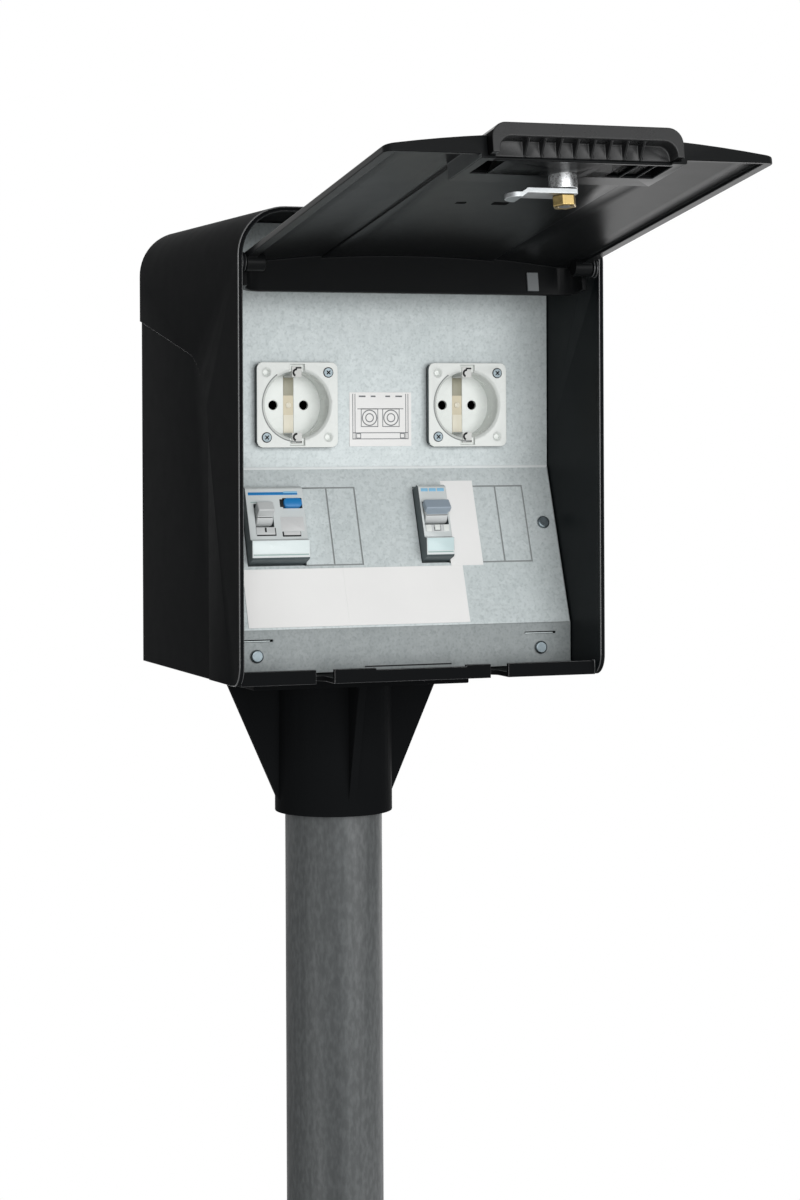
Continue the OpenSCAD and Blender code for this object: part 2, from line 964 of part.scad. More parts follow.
// the rubber seal between the face plate and the panel
module socket_seal(side) {
    seal_w = socket_w - 2 * seal_in;
    color(black)
        at_socket(side)
            linear_extrude(seal_t)
                difference() {
                    rounded(seal_w, seal_w, socket_r - seal_in);
                    circle(d = recess_d + 2 * cup_t + 2 * seal_gap);
                    at_square(socket_screw_pitch)
                        circle(d = socket_screw_d);
                }
}

// the bridge that lies in the recess floor between the pins
module socket_insert(side) {
    color(beige)
        at_socket(side)
            translate([-bridge_w / 2, -bridge_l / 2, bridge_n])
                cube([bridge_w, bridge_l, bridge_t - bridge_sunk]);
}

// two sprung strips, above and below the pins
module earth_clips(side) {
    strip_l = recess_depth - clip_set;
    color(chrome)
        at_socket(side)
            for (turn = [0, 180])
                rotate([0, 0, turn])
                    translate([-clip_w / 2, recess_d / 2 - clip_in, recess_n]) {
                        cube([clip_w, clip_t, strip_l]);
                        translate([0, 0, strip_l - clip_t])
                            cube([clip_w, clip_in + clip_notch_h - clip_end_gap, clip_t]);
                    }
}

module socket_contacts(side) {
    color(brass)
        at_socket(side)
            at_pins()
                difference() {
                    translate([0, 0, base_n - contact_tail])
                        cylinder(d = pin_hole_d + 2 * contact_t, h = base_depth + contact_tail);
                    translate([0, 0, base_n])
                        cylinder(d = pin_hole_d, h = base_depth + 1);
                }
}

// two screws to each socket, in opposite corners
module socket_screws() {
    shank_d = socket_screw_d - sink_gap;
    head_w = socket_head_d - sink_gap;
    color(chrome)
        for (side = [-1, 1], end = [-1, 1])
            at_socket(side)
                translate([end * socket_screw_pitch / 2, end * socket_screw_pitch / 2, face_n]) {
                    screw(shank_d, head_w, socket_cap_h, socket_screw_l);
                    translate([0, 0, -sink_h])
                        cylinder(d1 = shank_d, d2 = head_w, h = sink_h);
                }
}

// breakers

// a breaker from the side: its body behind the panel and its stepped nose in front
module breaker_profile() {
    half_h = nose_h / 2;
    cover_top = cover_h - half_h;
    cover_n = nose_out + cover_out;
    back_n = -panel_t - breaker_gap;
    polygon([
        [-breaker_h / 2, rail_n],
        [breaker_h / 2, rail_n],
        [breaker_h / 2, back_n],
        [half_h, back_n],
        [half_h, nose_out - nose_bevel],
        [half_h - nose_bevel, nose_out],
        [cover_top, nose_out],
        [cover_top - cover_out / 2, cover_n],
        [-half_h + cover_bevel, cover_low],
        [-half_h, cover_low - cover_bevel],
        [-half_h, back_n],
        [-breaker_h / 2, back_n]
    ]);
}

module breaker_block(x, w) {
    along_x(x - w / 2, x + w / 2)
        breaker_profile();
}

// the room that a toggle turns in
module toggle_pocket(x, w) {
    translate([x, toggle_v, toggle_n - toggle_r - toggle_gap])
        linear_extrude(nose_out - toggle_n + toggle_r + toggle_gap + 1)
            square([w + 2 * toggle_gap, 2 * toggle_r + 6 * toggle_gap], center = true);
}

// a toggle's drum and lever, the lever wider than the drum where it stands clear of the nose
module breaker_toggle(x, w, more) {
    translate([x, toggle_v, toggle_n])
        rotate([-toggle_lean, 0, 0]) {
            rotate([0, 90, 0])
                cylinder(r = toggle_r, h = w, center = true);
            linear_extrude(toggle_r + toggle_l)
                square([w, lever_t], center = true);
            translate([0, 0, lever_clear])
                linear_extrude(toggle_r + toggle_l - lever_clear)
                    square([w + more, lever_t], center = true);
        }
}

module rcbo_body() {
    color(white)
        on_slope()
            difference() {
                breaker_block(rcbo_x, rcbo_w);
                toggle_pocket(rcbo_toggle_x, rcbo_toggle_w);
                translate([button_x, button_v, button_seat - button_travel - 1])
                    linear_extrude(nose_out - button_seat + button_travel + 2)
                        square([button_w + 2 * turn_gap, button_h + 2 * turn_gap], center = true);
            }
}

module rcbo_toggle() {
    color(light_grey)
        on_slope()
            breaker_toggle(rcbo_toggle_x, rcbo_toggle_w, 0);
}

module rcbo_test_button() {
    color(blue)
        on_slope()
            translate([button_x, button_v, button_seat])
                linear_extrude(nose_out - button_seat + button_out)
                    square([button_w, button_h], center = true);
}

module mcb_body() {
    color(white)
        on_slope()
            difference() {
                breaker_block(mcb_x, module_w);
                toggle_pocket(mcb_x, mcb_toggle_w);
            }
}

module mcb_toggle() {
    color(slate)
        on_slope()
            breaker_toggle(mcb_x, mcb_toggle_w, mcb_lever_more);
}

module rail_profile() {
    rim = (rail_w - rail_crown) / 2 + rail_t;
    for (v = [-rail_w / 2, rail_w / 2 - rim])
        translate([v, rail_n - rail_t])
            square([rim, rail_t]);
    for (v = [-rail_crown / 2, rail_crown / 2 - rail_t])
        translate([v, rail_n - rail_d])
            square([rail_t, rail_d]);
    translate([-rail_crown / 2, rail_n - rail_d])
        square([rail_crown, rail_t]);
}

module din_rail() {
    color(zinc)
        on_slope()
            along_x(-rail_l / 2, rail_l / 2)
                rail_profile();
}

module rail_posts() {
    color(chrome)
        on_slope()
            for (x = [-1, 1])
                translate([x * post_pitch / 2, 0, 0])
                    difference() {
                        translate([0, 0, rail_n - rail_d + rail_t])
                            cylinder(d = post_d, h = -panel_t - rail_n + rail_d - rail_t);
                        translate([0, 0, -panel_t - post_screw_l])
                            cylinder(d = screw_d, h = post_screw_l + 2);
                    }
}

module terminal_block() {
    color(light_grey)
        in_box()
            translate([-terminal[0] / 2, box_d - wall_t - terminal[1], terminal_z])
                difference() {
                    cube(terminal);
                    for (i = [0:terminal_ways - 1])
                        translate([
                            (i + 0.5) * terminal[0] / terminal_ways,
                            terminal[1] / 2,
                            terminal[2] - terminal_hole_l
                        ])
                            cylinder(d = terminal_hole_d, h = terminal_hole_l + 1);
                }
}

// labels

module slope_label(x, v, size) {
    color(paper)
        on_slope()
            translate([x, v, 0])
                cube([size[0], size[1], label_t]);
}

module plan_label() {
    color(paper)
        in_box()
            translate([-plan_label_w / 2, panel_y - label_t, plan_label_z - plan_label_h / 2])
                cube([plan_label_w, label_t, plan_label_h]);
}

module left_label() {
    slope_label(-inner_w / 2 + label_in, label_top - left_label[1], left_label);
}

module right_label() {
    slope_label(-inner_w / 2 + label_in + left_label[0], label_top - right_label[1], right_label);
}

module strip_label() {
    slope_label(mcb_x + module_w / 2 + window_gap, label_top, strip_label);
}

// lid

// the lid's plan, brought in all round by a margin
module lid_plan(margin) {
    half_w = lid_w / 2 - margin;
    upper_r = lid_upper_r - margin;
    free_r = max(lid_free_r - margin, 0.5);
    top = lid_upper - margin;
    low = -lid_l + margin;
    translate([-half_w, low + free_r])
        square([2 * half_w, top - upper_r - low - free_r]);
    translate([-half_w + upper_r, top - upper_r - eps])
        square([2 * (half_w - upper_r), upper_r + eps]);
    translate([-half_w + free_r, low])
        square([2 * (half_w - free_r), free_r + eps]);
    for (x = [-1, 1]) {
        translate([x * (half_w - upper_r), top - upper_r])
            circle(upper_r);
        translate([x * (half_w - free_r), low + free_r])
            circle(free_r);
    }
}

// everything under the lid's domed face, less a skin
module under_dome(skin) {
    along_y(-lid_l - 1, lid_upper + 1)
        intersection() {
            translate([0, dome_top - dome_r])
                circle(dome_r - skin, $fn = dome_steps);
            translate([-lid_w / 2 - 1, -1])
                square([lid_w + 2, dome_top + 2]);
        }
}

module domed_plan(skin, margin) {
    intersection() {
        under_dome(skin);
        translate([0, 0, -1])
            linear_extrude(dome_top + 2)
                lid_plan(margin);
    }
}

// a section with straight sides and rounded upper corners
module arch(w, base, top, r) {
    translate([-w / 2, base])
        square([w, top - r - base]);
    translate([-w / 2 + r, top - r - eps])
        square([w - 2 * r, r + eps]);
    intersection() {
        for (x = [-1, 1])
            translate([x * (w / 2 - r), top - r])
                circle(r);
        translate([-w, top - r - eps])
            square([2 * w, 2 * r]);
    }
}

// the handle's section, let out by a gap
module handle_outline(gap) {
    arch(handle_w + 2 * gap, handle_base, handle_h + gap, handle_r + gap);
}

// the pockets either side of the lock, open to the inside of the lid
module lid_pockets(low, high) {
    for (side = [-1, 1], i = [0:pocket_cells - 1]) {
        cell = (handle_w / 2 - divider_t - pocket_near) / pocket_cells;
        near = pocket_near + i * cell + divider_t / 2;
        far = near + cell - divider_t;
        translate([min(side * near, side * far), -lid_l + pocket_front, low])
            cube([far - near, pocket_back - pocket_front, high - low]);
    }
}

// the hollow inside the lid under a skin, out to its solid edges
module lid_inside(skin) {
    intersection() {
        domed_plan(skin, lid_end_t);
        translate([-lid_w / 2 + lid_border, -lid_l, -1])
            cube([lid_w - 2 * lid_border, lid_l + lid_upper, 2 * dome_top]);
    }
}

// the solid frame round the handle, from a height up
module handle_frame(low, height) {
    translate([-handle_w / 2 - ledge_w, -lid_l, low])
        cube([handle_w + 2 * ledge_w, handle_l + ledge_w, height]);
}

// the domed face with its solid edges, thicker in the middle
module lid_dome() {
    difference() {
        intersection() {
            domed_plan(0, 0);
            translate([-lid_w, -2 * lid_l, 0])
                cube([2 * lid_w, 4 * lid_l, 2 * dome_top]);
        }
        difference() {
            lid_inside(lid_mid_skin);
            handle_frame(-2, 2 * dome_top);
        }
        difference() {
            lid_inside(lid_skin);
            handle_frame(-2, 2 * dome_top);
            translate([-middle_w / 2, -2 * lid_l, -2])
                cube([middle_w, 4 * lid_l, 2 * dome_top]);
        }
    }
}

module lid_shell() {
    color(black)
        on_lid()
            difference() {
                union() {
                    lid_dome();
                    handle_frame(-shelf_low, shelf_low + shelf_t);
                    intersection() {
                        translate([0, 0, -lid_wall_h])
                            linear_extrude(lid_wall_h + lid_edge_t - 1)
                                difference() {
                                    lid_plan(0);
                                    lid_plan(lid_end_t);
                                }
                        translate([-lid_w, lug_d / 2 + 1, -lid_w])
                            cube([2 * lid_w, lid_upper, 2 * lid_w]);
                    }
                    both_sides()
                        translate([lid_w / 2 - pin_in - 2, 0, -hinge_drop])
                            rotate([0, 90, 0])
                                cylinder(d = lug_d, h = pin_in + 2);
                }
                translate([0, -lid_l + handle_l, 0])
                    along_y(-handle_l - handle_out, handle_gap)
                        handle_outline(handle_gap);
                translate([-hollow_w / 2, -lid_l - 1, -shelf_low - 1])
                    cube([hollow_w, hollow_d - handle_out + 1, shelf_low + shelf_t]);
                lid_pockets(-shelf_low - 1, handle_base + 1);
                translate([0, lock_y, -shelf_low - 1])
                    cylinder(d = sleeve_d, h = shelf_t + 2);
                both_sides()
                    translate([lid_w / 2 - pin_in, 0, -hinge_drop])
                        rotate([0, 90, 0])
                            cylinder(d = hinge_pin_d, h = pin_in + 1);
            }
}

// a rib that runs from the foot of the hollow's back wall up to the front of its ceiling
module rib_outline(front) {
    back = front + hollow_d;
    polygon([
        [back, handle_base],
        [front + rib_set, ceiling_z],
        [front + rib_set, ceiling_z + 1],
        [back + 1, ceiling_z + 1],
        [back + 1, handle_base]
    ]);
}

module lid_handle() {
    front = -lid_l - handle_out;
    color(black)
        on_lid()
            difference() {
                translate([0, -lid_l + handle_l, 0])
                    along_y(-handle_l - handle_out, 0)
                        handle_outline(0);
                difference() {
                    along_y(front - 1, front + hollow_d)
                        arch(hollow_w, handle_base - 1, ceiling_z, hollow_r);
                    for (i = [0:rib_count - 1]) {
                        x = (i - (rib_count - 1) / 2) * rib_pitch;
                        along_x(x - rib_t / 2, x + rib_t / 2)
                            rib_outline(front);
                    }
                }
                lid_pockets(handle_base - 1, ceiling_z);
                translate([0, lock_y, handle_base - 1])
                    cylinder(d = sleeve_d, h = 2 * handle_h);
            }
}

module hinge_pins() {
    color(chrome)
        on_lid()
            both_sides()
                translate([lid_w / 2 - pin_in, 0, -hinge_drop])
                    rotate([0, 90, 0])
                        cylinder(d = hinge_pin_d, h = pin_in + pin_out);
}

module lid_clip() {
    color(zinc)
        on_lid()
            translate([lid_clip_x, lid_upper - lid_end_t - lid_clip[1], -lid_wall_h + lid_clip_up])
                cube(lid_clip);
}

// lock

module lock_sleeve() {
    color(chrome)
        on_lid()
            translate([0, lock_y, 0])
                difference() {
                    union() {
                        translate([0, 0, -sleeve_in])
                            cylinder(d = sleeve_d, h = sleeve_in + handle_h);
                        translate([0, 0, handle_h])
                            cylinder(d = sleeve_d + 2 * rim_w, h = rim_t);
                    }
                    translate([0, 0, -sleeve_in - 1])
                        cylinder(d = barrel_d + 2 * turn_gap, h = sleeve_in + handle_h + 4);
                }
}

module lock_barrel() {
    color(chrome)
        on_lid()
            translate([0, lock_y, 0])
                difference() {
                    union() {
                        translate([0, 0, cam_n])
                            cylinder(d = barrel_d, h = handle_h + rim_t - cam_n);
                        translate([-square_w / 2, -square_w / 2, cam_n - cam_t])
                            cube([square_w, square_w, cam_t + eps]);
                        translate([0, 0, cam_n - cam_t - nut_h])
                            cylinder(d = thread_d, h = nut_h + eps);
                    }
                    translate([-key_slot[0] / 2, -key_slot[1] / 2, handle_h - key_slot_l])
                        cube([key_slot[0], key_slot[1], 2 * key_slot_l]);
                }
}

module cam_outline() {
    bend = 3;
    polygon([
        [-cam_l, -cam_t - cam_step],
        [-cam_l + cam_hook, -cam_t - cam_step],
        [-cam_l + cam_hook + bend, -cam_t],
        [cam_tail, -cam_t],
        [cam_tail, 0],
        [-cam_l + cam_hook + bend, 0],
        [-cam_l + cam_hook, -cam_step],
        [-cam_l, -cam_step]
    ]);
}

// the cam's plan, with a round end
module cam_plan() {
    translate([-cam_l + cam_w / 2, 0])
        circle(d = cam_w);
    translate([-cam_l + cam_w / 2, -cam_w / 2])
        square([cam_l + cam_w, cam_w]);
}

module lock_cam() {
    color(chrome)
        on_lid()
            translate([0, lock_y, cam_n])
                difference() {
                    intersection() {
                        along_y(-cam_w / 2, cam_w / 2)
                            cam_outline();
                        translate([0, 0, -cam_w])
                            linear_extrude(2 * cam_w)
                                cam_plan();
                    }
                    translate([-square_w / 2, -square_w / 2, -cam_t - 1])
                        cube([square_w, square_w, cam_t + 2]);
                }
}

module lock_nut() {
    color(brass)
        on_lid()
            translate([0, lock_y, cam_n - cam_t - nut_h])
                difference() {
                    cylinder(d = nut_w / cos(30), h = nut_h, $fn = 6);
                    translate([0, 0, -1])
                        cylinder(d = thread_d, h = nut_h + 2);
                }
}

module socket_frame_left() socket_frame(-1);
module socket_frame_right() socket_frame(1);
module socket_seal_left() socket_seal(-1);
module socket_seal_right() socket_seal(1);
module socket_insert_left() socket_insert(-1);
module socket_insert_right() socket_insert(1);
module earth_clips_left() earth_clips(-1);
module earth_clips_right() earth_clips(1);
module socket_contacts_left() socket_contacts(-1);
module socket_contacts_right() socket_contacts(1);

pole();
collar();
collar_bolts();
collar_nuts();
clamp_screws();
housing_shell();
back_cover();
cover_screws();
mounting_panel();
panel_screws();
socket_frame_left();
socket_frame_right();
socket_seal_left();
socket_seal_right();
socket_insert_left();
socket_insert_right();
earth_clips_left();
earth_clips_right();
socket_contacts_left();
socket_contacts_right();
socket_screws();
rcbo_body();
rcbo_toggle();
rcbo_test_button();
mcb_body();
mcb_toggle();
din_rail();
rail_posts();
terminal_block();
plan_label();
left_label();
right_label();
strip_label();
lid_shell();
lid_handle();
hinge_pins();
lid_clip();
lock_sleeve();
lock_barrel();
lock_cam();
lock_nut();
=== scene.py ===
"""The looks of the garden socket post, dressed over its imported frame."""

import json
import math

import bmesh
import bpy
from mathutils import Matrix, Vector


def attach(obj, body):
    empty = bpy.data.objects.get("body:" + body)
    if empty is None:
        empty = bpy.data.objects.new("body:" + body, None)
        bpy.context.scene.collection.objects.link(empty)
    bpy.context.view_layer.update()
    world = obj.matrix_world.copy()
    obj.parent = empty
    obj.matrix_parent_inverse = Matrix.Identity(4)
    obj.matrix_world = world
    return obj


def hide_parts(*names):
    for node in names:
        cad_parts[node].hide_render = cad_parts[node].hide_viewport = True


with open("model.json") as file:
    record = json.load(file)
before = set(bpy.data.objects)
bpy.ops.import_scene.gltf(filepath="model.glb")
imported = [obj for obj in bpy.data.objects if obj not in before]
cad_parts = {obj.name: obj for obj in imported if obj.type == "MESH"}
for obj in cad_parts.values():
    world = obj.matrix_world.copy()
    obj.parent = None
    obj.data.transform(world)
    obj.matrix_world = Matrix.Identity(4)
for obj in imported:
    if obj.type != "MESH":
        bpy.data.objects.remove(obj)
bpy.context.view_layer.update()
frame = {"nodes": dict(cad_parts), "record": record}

MM = 0.001
SIDES = (("left", -1), ("right", 1))

# the frame's places, in millimetres and degrees
RIM_Y = -165
BOX_Z = 900
PANEL_Y = RIM_Y + 76
BEND_Z = BOX_Z + 121
FOOT_Y = RIM_Y + 42
FOOT_TOP = BOX_Z + 29
SLOPE_AT = (0, RIM_Y + 63.43, BOX_Z + 87)
SLOPE_TILT = 20.28
HINGE_AT = (0, RIM_Y + 6, BOX_Z + 236.9)
LID_TILT = 9.3
LID_DROP = 2
LID_L = 233.5
SOCKET_X = 53.5
SOCKET_Z = BOX_Z + 158
PLAN_Z = BOX_Z + 149.5


def place(at, tilt=0.0):
    """A place in the frame, tilted about X, whose own units are millimetres."""
    spot = Matrix.Translation(Vector(at) * MM)
    return spot @ Matrix.Rotation(math.radians(tilt), 4, "X") @ Matrix.Scale(MM, 4)


def moved(where, x, y, z=0):
    """A place moved along its own axes."""
    return where @ Matrix.Translation((x, y, z))


def at_socket(side):
    """One socket: x across, y up, z out of the panel's face."""
    return place((side * SOCKET_X, PANEL_Y, SOCKET_Z), 90)


# the frame's own axes
IN_FRAME = place((0, 0, 0))
# x across, y up the slope, z out of the panel
ON_SLOPE = place(SLOPE_AT, 90 - SLOPE_TILT)
# x across, y back from the hinge, z out of the open lid
ON_LID = moved(place(HINGE_AT, -LID_TILT), 0, 0, LID_DROP)
# x across, y up, z out of the panel
ON_PLAN = place((0, PANEL_Y, PLAN_Z), 90)
ON_FOOT = place((0, FOOT_Y, BOX_Z), 90)


# materials

WHITE = (1, 1, 1)
# noise seldom leaves this range
NOISE_SPAN = (0.3, 0.7)


class Shading:
    """A material whose colour, roughness and bump come from noise in the frame's own metres."""

    def __init__(self, name, **settings):
        self.material = bpy.data.materials.new(name)
        self.material.use_nodes = True
        self.tree = self.material.node_tree
        self.shader = self.tree.nodes["Principled BSDF"]
        self.coords = self.add("ShaderNodeTexCoord").outputs["Object"]
        for socket, value in settings.items():
            self.shader.inputs[socket.replace("_", " ")].default_value = value

    def add(self, kind):
        return self.tree.nodes.new(kind)

    def link(self, source, target):
        self.tree.links.new(source, target)

    def stretched(self, stretch):
        mapping = self.add("ShaderNodeMapping")
        mapping.inputs["Scale"].default_value = stretch
        self.link(self.coords, mapping.inputs["Vector"])
        return mapping.outputs["Vector"]

    def noise(self, scale, detail, stretch=(1, 1, 1)):
        node = self.add("ShaderNodeTexNoise")
        node.inputs["Scale"].default_value = scale
        node.inputs["Detail"].default_value = detail
        self.link(self.stretched(stretch), node.inputs["Vector"])
        return node.outputs["Fac"]

    def spangle(self, scale):
        node = self.add("ShaderNodeTexVoronoi")
        node.inputs["Scale"].default_value = scale
        self.link(self.coords, node.inputs["Vector"])
        grey = self.add("ShaderNodeRGBToBW")
        self.link(node.outputs["Color"], grey.inputs["Color"])
        return grey.outputs["Val"]

    def ramp(self, value, stops):
        node = self.add("ShaderNodeValToRGB")
        elements = node.color_ramp.elements
        while len(elements) < len(stops):
            elements.new(0.5)
        for element, (position, colour) in zip(elements, stops):
            element.position = position
            element.color = (*colour, 1)
        self.link(value, node.inputs["Fac"])
        return node.outputs["Color"]

    def clouds(self, value, low, high):
        return self.ramp(value, list(zip(NOISE_SPAN, (low, high))))

    def mixed(self, first, second, share):
        node = self.add("ShaderNodeMix")
        node.data_type = "RGBA"
        node.blend_type = "MULTIPLY"
        node.inputs["Factor"].default_value = share
        self.link(first, node.inputs["A"])
        self.link(second, node.inputs["B"])
        return node.outputs["Result"]

    def colour(self, source):
        self.link(source, self.shader.inputs["Base Color"])

    def roughness(self, value, low, high):
        node = self.add("ShaderNodeMapRange")
        ends = ("From Min", "From Max", "To Min", "To Max")
        for end, level in zip(ends, (*NOISE_SPAN, low, high)):
            node.inputs[end].default_value = level
        self.link(value, node.inputs["Value"])
        self.link(node.outputs["Result"], self.shader.inputs["Roughness"])

    def bump(self, value, strength, depth):
        node = self.add("ShaderNodeBump")
        node.inputs["Strength"].default_value = strength
        node.inputs["Distance"].default_value = depth
        self.link(value, node.inputs["Height"])
        self.link(node.outputs["Normal"], self.shader.inputs["Normal"])


def tinted(colour, factor):
    return tuple(channel * factor for channel in colour)


def moulding(name, colour, roughness, gloss, grain=1600, depth=0.00005, drift=0.05, vary=0.05):
    """Moulded plastic: a colour that drifts a little, a fine grain and a varied gloss."""
    look = Shading(name, Specular_IOR_Level=gloss)
    slow = look.noise(scale=22, detail=4)
    look.colour(look.clouds(slow, tinted(colour, 1 - drift), tinted(colour, 1 + drift)))
    look.roughness(look.noise(scale=90, detail=5), roughness - vary, roughness + vary)
    look.bump(look.noise(grain, detail=2), 0.25, depth)
    return look.material


def metal(name, colour, roughness, grain=500, contrast=0.25):
    """Bare metal with cloudy colour and fine scratches."""
    look = Shading(name, Metallic=1.0)
    cloud = look.clouds(look.noise(scale=70, detail=5), tinted(colour, 1 - contrast), colour)
    fine = look.ramp(look.noise(grain, detail=3), [(0.35, tinted(WHITE, 0.8)), (0.65, WHITE)])
    look.colour(look.mixed(cloud, fine, 0.6))
    look.roughness(look.noise(grain, detail=3), roughness - 0.05, roughness + 0.1)
    look.bump(look.noise(grain, detail=2), strength=0.12, depth=0.00004)
    return look.material


def zinc_sheet(name, tone=1.0):
    """Zinc coated sheet: pale crystals of a few millimetres, dulled by fine dark flecks."""
    look = Shading(name, Metallic=0.12, Specular_IOR_Level=0.2)
    pale = tinted((0.6, 0.65, 0.655), tone)
    dull = tinted((0.53, 0.58, 0.585), tone)
    crystals = look.ramp(look.spangle(scale=420), [(0.1, dull), (0.9, pale)])
    clouds = look.clouds(look.noise(scale=30, detail=5), (0.93, 0.94, 0.94), WHITE)
    flecks = look.ramp(look.noise(scale=620, detail=4), [(0.34, (0.82, 0.83, 0.83)), (0.5, WHITE)])
    look.colour(look.mixed(look.mixed(crystals, clouds, 1), flecks, 0.8))
    look.roughness(look.noise(scale=180, detail=4), 0.4, 0.48)
    look.bump(look.noise(scale=900, detail=3), strength=0.05, depth=0.00002)
    return look.material


def zinc_tube(name):
    """A dull zinc coated tube, with streaks along its length and bright flecks."""
    look = Shading(name, Metallic=0.2, Specular_IOR_Level=0.03)
    streaks = look.ramp(
        look.noise(scale=34, detail=5, stretch=(1, 1, 0.03)),
        [(0.3, (0.06, 0.064, 0.066)), (0.5, (0.115, 0.122, 0.124)), (0.7, (0.19, 0.197, 0.2))],
    )
    flecks = look.ramp(
        look.noise(scale=420, detail=4, stretch=(1, 1, 0.4)), [(0.4, tinted(WHITE, 0.7)), (0.68, WHITE)]
    )
    look.colour(look.mixed(streaks, flecks, 0.8))
    look.roughness(look.noise(scale=120, detail=4, stretch=(1, 1, 0.2)), 0.36, 0.52)
    look.bump(look.noise(scale=520, detail=3, stretch=(1, 1, 0.3)), strength=0.15, depth=0.00006)
    return look.material


FINE = {"grain": 2400, "depth": 0.000003}
EVEN = {**FINE, "vary": 0.02}
GLOSSY = {"grain": 900, "depth": 0.00002, "drift": 0.02}

# the looks of the record's slots
LOOKS = {
    "black_moulding": moulding("satin_black", (0.0076, 0.0082, 0.0088), 0.42, 0.002, **EVEN),
    "black_rubber": moulding("seal_rubber", (0.01, 0.0115, 0.012), 0.65, 0.1, grain=900),
    "galvanised_sheet": zinc_sheet("zinc_sheet"),
    "galvanised_pole": zinc_tube("zinc_tube"),
    "white_moulding": moulding("gloss_white", (0.74, 0.77, 0.745), 0.26, 0.35, **GLOSSY),
    "beige_moulding": moulding("bridge_beige", (0.6, 0.54, 0.4), 0.4, 0.4),
    "grey_moulding": moulding("lever_grey", (0.6, 0.62, 0.62), 0.36, 0.3),
    "blue_moulding": moulding("button_blue", (0.016, 0.2, 0.5), 0.34, 0.3),
    "slate_moulding": moulding("lever_slate", (0.3, 0.36, 0.42), 0.36, 0.3),
    "plated_screws": metal("zinc_plate", (0.36, 0.38, 0.38), 0.34),
    "lock_chrome": metal("bright_chrome", (0.78, 0.8, 0.81), 0.27, grain=800, contrast=0.1),
    "brass": metal("nut_brass", (0.42, 0.31, 0.13), 0.3, grain=700),
    "label_paper": moulding(
        "label_film", (0.84, 0.84, 0.83), 0.55, 0.3, grain=1500, depth=0.00003, drift=0.02
    ),
}

# the looks of single pieces, of parts of a piece, of print, and of painted light and shade
LID_BLACK = moulding(
    "lid_black", (0.0064, 0.007, 0.0074), 0.3, 0.055, grain=2400, depth=0.000001, vary=0.01
)
# a glossier copy of the housing's black for its inside walls: a painted sheen
INNER_SHEEN_BLACK = moulding("inner_black_painted_sheen", (0.006, 0.0078, 0.0088), 0.36, 0.04, **EVEN)
HANDLE_BLACK = moulding("gloss_black", (0.012, 0.0125, 0.013), 0.28, 0.3, **EVEN)
# a lighter, glossier black for the housing's rounded edges: a painted highlight
EDGE_HIGHLIGHT = moulding("edge_painted_highlight", (0.036, 0.038, 0.04), 0.26, 0.9, **EVEN)
# the panel's foot: the same zinc at half its tone, a painted shade
FOOT_SHADE_ZINC = zinc_sheet("zinc_foot_painted_shade", tone=0.5)
CAM_STEEL = metal("cam_steel", (0.42, 0.44, 0.45), 0.34, grain=800, contrast=0.15)
BARREL_STEEL = metal("barrel_steel", (0.2, 0.205, 0.21), 0.44, grain=800, contrast=0.15)
CLIP_GREY = moulding("clip_grey", (0.14, 0.15, 0.155), 0.4, 0.3)
# a pale band on the panel's upper bend: a painted highlight
BEND_HIGHLIGHT = moulding("bend_painted_highlight", (0.82, 0.86, 0.86), 0.4, 0.5)
CLIP_STEEL = moulding("clip_steel", (0.6, 0.61, 0.59), 0.35, 0.4, grain=700)
SCREW_STEEL = metal("screw_steel", (0.2, 0.24, 0.26), 0.4)
BREAKER_GREY = moulding("breaker_grey", (0.62, 0.66, 0.66), 0.26, 0.35, **GLOSSY)
# a lighter black on one side face under the lid: painted light
FRAME_SIDE_LIGHT = moulding("frame_side_painted_light", (0.075, 0.082, 0.083), 0.5, 0.2, **FINE)
FRAME_SHADE = moulding("frame_shade", (0.085, 0.105, 0.11), 0.4, 0.2)
# a dark grey for the breakers' faces that look left or down: painted shade
SIDE_SHADE_GREY = moulding("breaker_side_painted_shade", (0.07, 0.09, 0.095), 0.4, 0.3)
# black print, and also painted shade: in pin holes, screw slots, round screw heads, under clip hooks, in
# a gap and beside raised parts
INK_AND_SHADE = moulding("print_ink_and_painted_shade", (0.02, 0.021, 0.022), 0.5, 0.1)
# a darker grey in the panel's scored grooves and beside a raised tongue: painted shade
SCORE_PAINTED_SHADE = moulding("score_shade", (0.28, 0.3, 0.3), 0.6, 0.1)
FAINT_INK = moulding("drawing_ink", (0.16, 0.17, 0.18), 0.5, 0.2)
PALE_BLUE = moulding("print_pale_blue", (0.24, 0.52, 0.74), 0.4, 0.3)
COVER_LINE = moulding("cover_line", (0.3, 0.42, 0.4), 0.35, 0.4)
WINDOW_GREY = moulding("window_grey", (0.56, 0.58, 0.58), 0.24, 0.4)
PLATE_GREY = moulding("plate_grey", (0.6, 0.61, 0.61), 0.3, 0.3)
COVER_WHITE = moulding("cover_white", (0.72, 0.8, 0.8), 0.24, 0.4)
COVER_CYAN = moulding("cover_pale_cyan", (0.56, 0.7, 0.71), 0.24, 0.4)
# near black for the handle's pockets and two small marks in the lid: painted shade
HOLLOW_SHADE = moulding("hollow_painted_shade", (0.003, 0.003, 0.0032), 0.8, 0.02)
RIM_SHADE = moulding("rim_shade", (0.22, 0.235, 0.23), 0.4, 0.3)
OLIVE = moulding("bridge_olive", (0.3, 0.29, 0.22), 0.4, 0.4)
CREAM = moulding("bridge_cream", (0.74, 0.7, 0.58), 0.4, 0.4)


# shapes, in millimetres

FULL_TURN = 360
HAIR = 0.01


def rounded_corners(w, h, r, steps=6):
    """The corner points of a rectangle about its middle, each corner turned in a few steps."""
    points = []
    for i, (x, y) in enumerate([(1, 1), (-1, 1), (-1, -1), (1, -1)]):
        for step in range(steps + 1):
            angle = math.radians(90 * (i + step / steps))
            points.append((
                x * (w / 2 - r) + r * math.cos(angle),
                y * (h / 2 - r) + r * math.sin(angle),
            ))
    return points


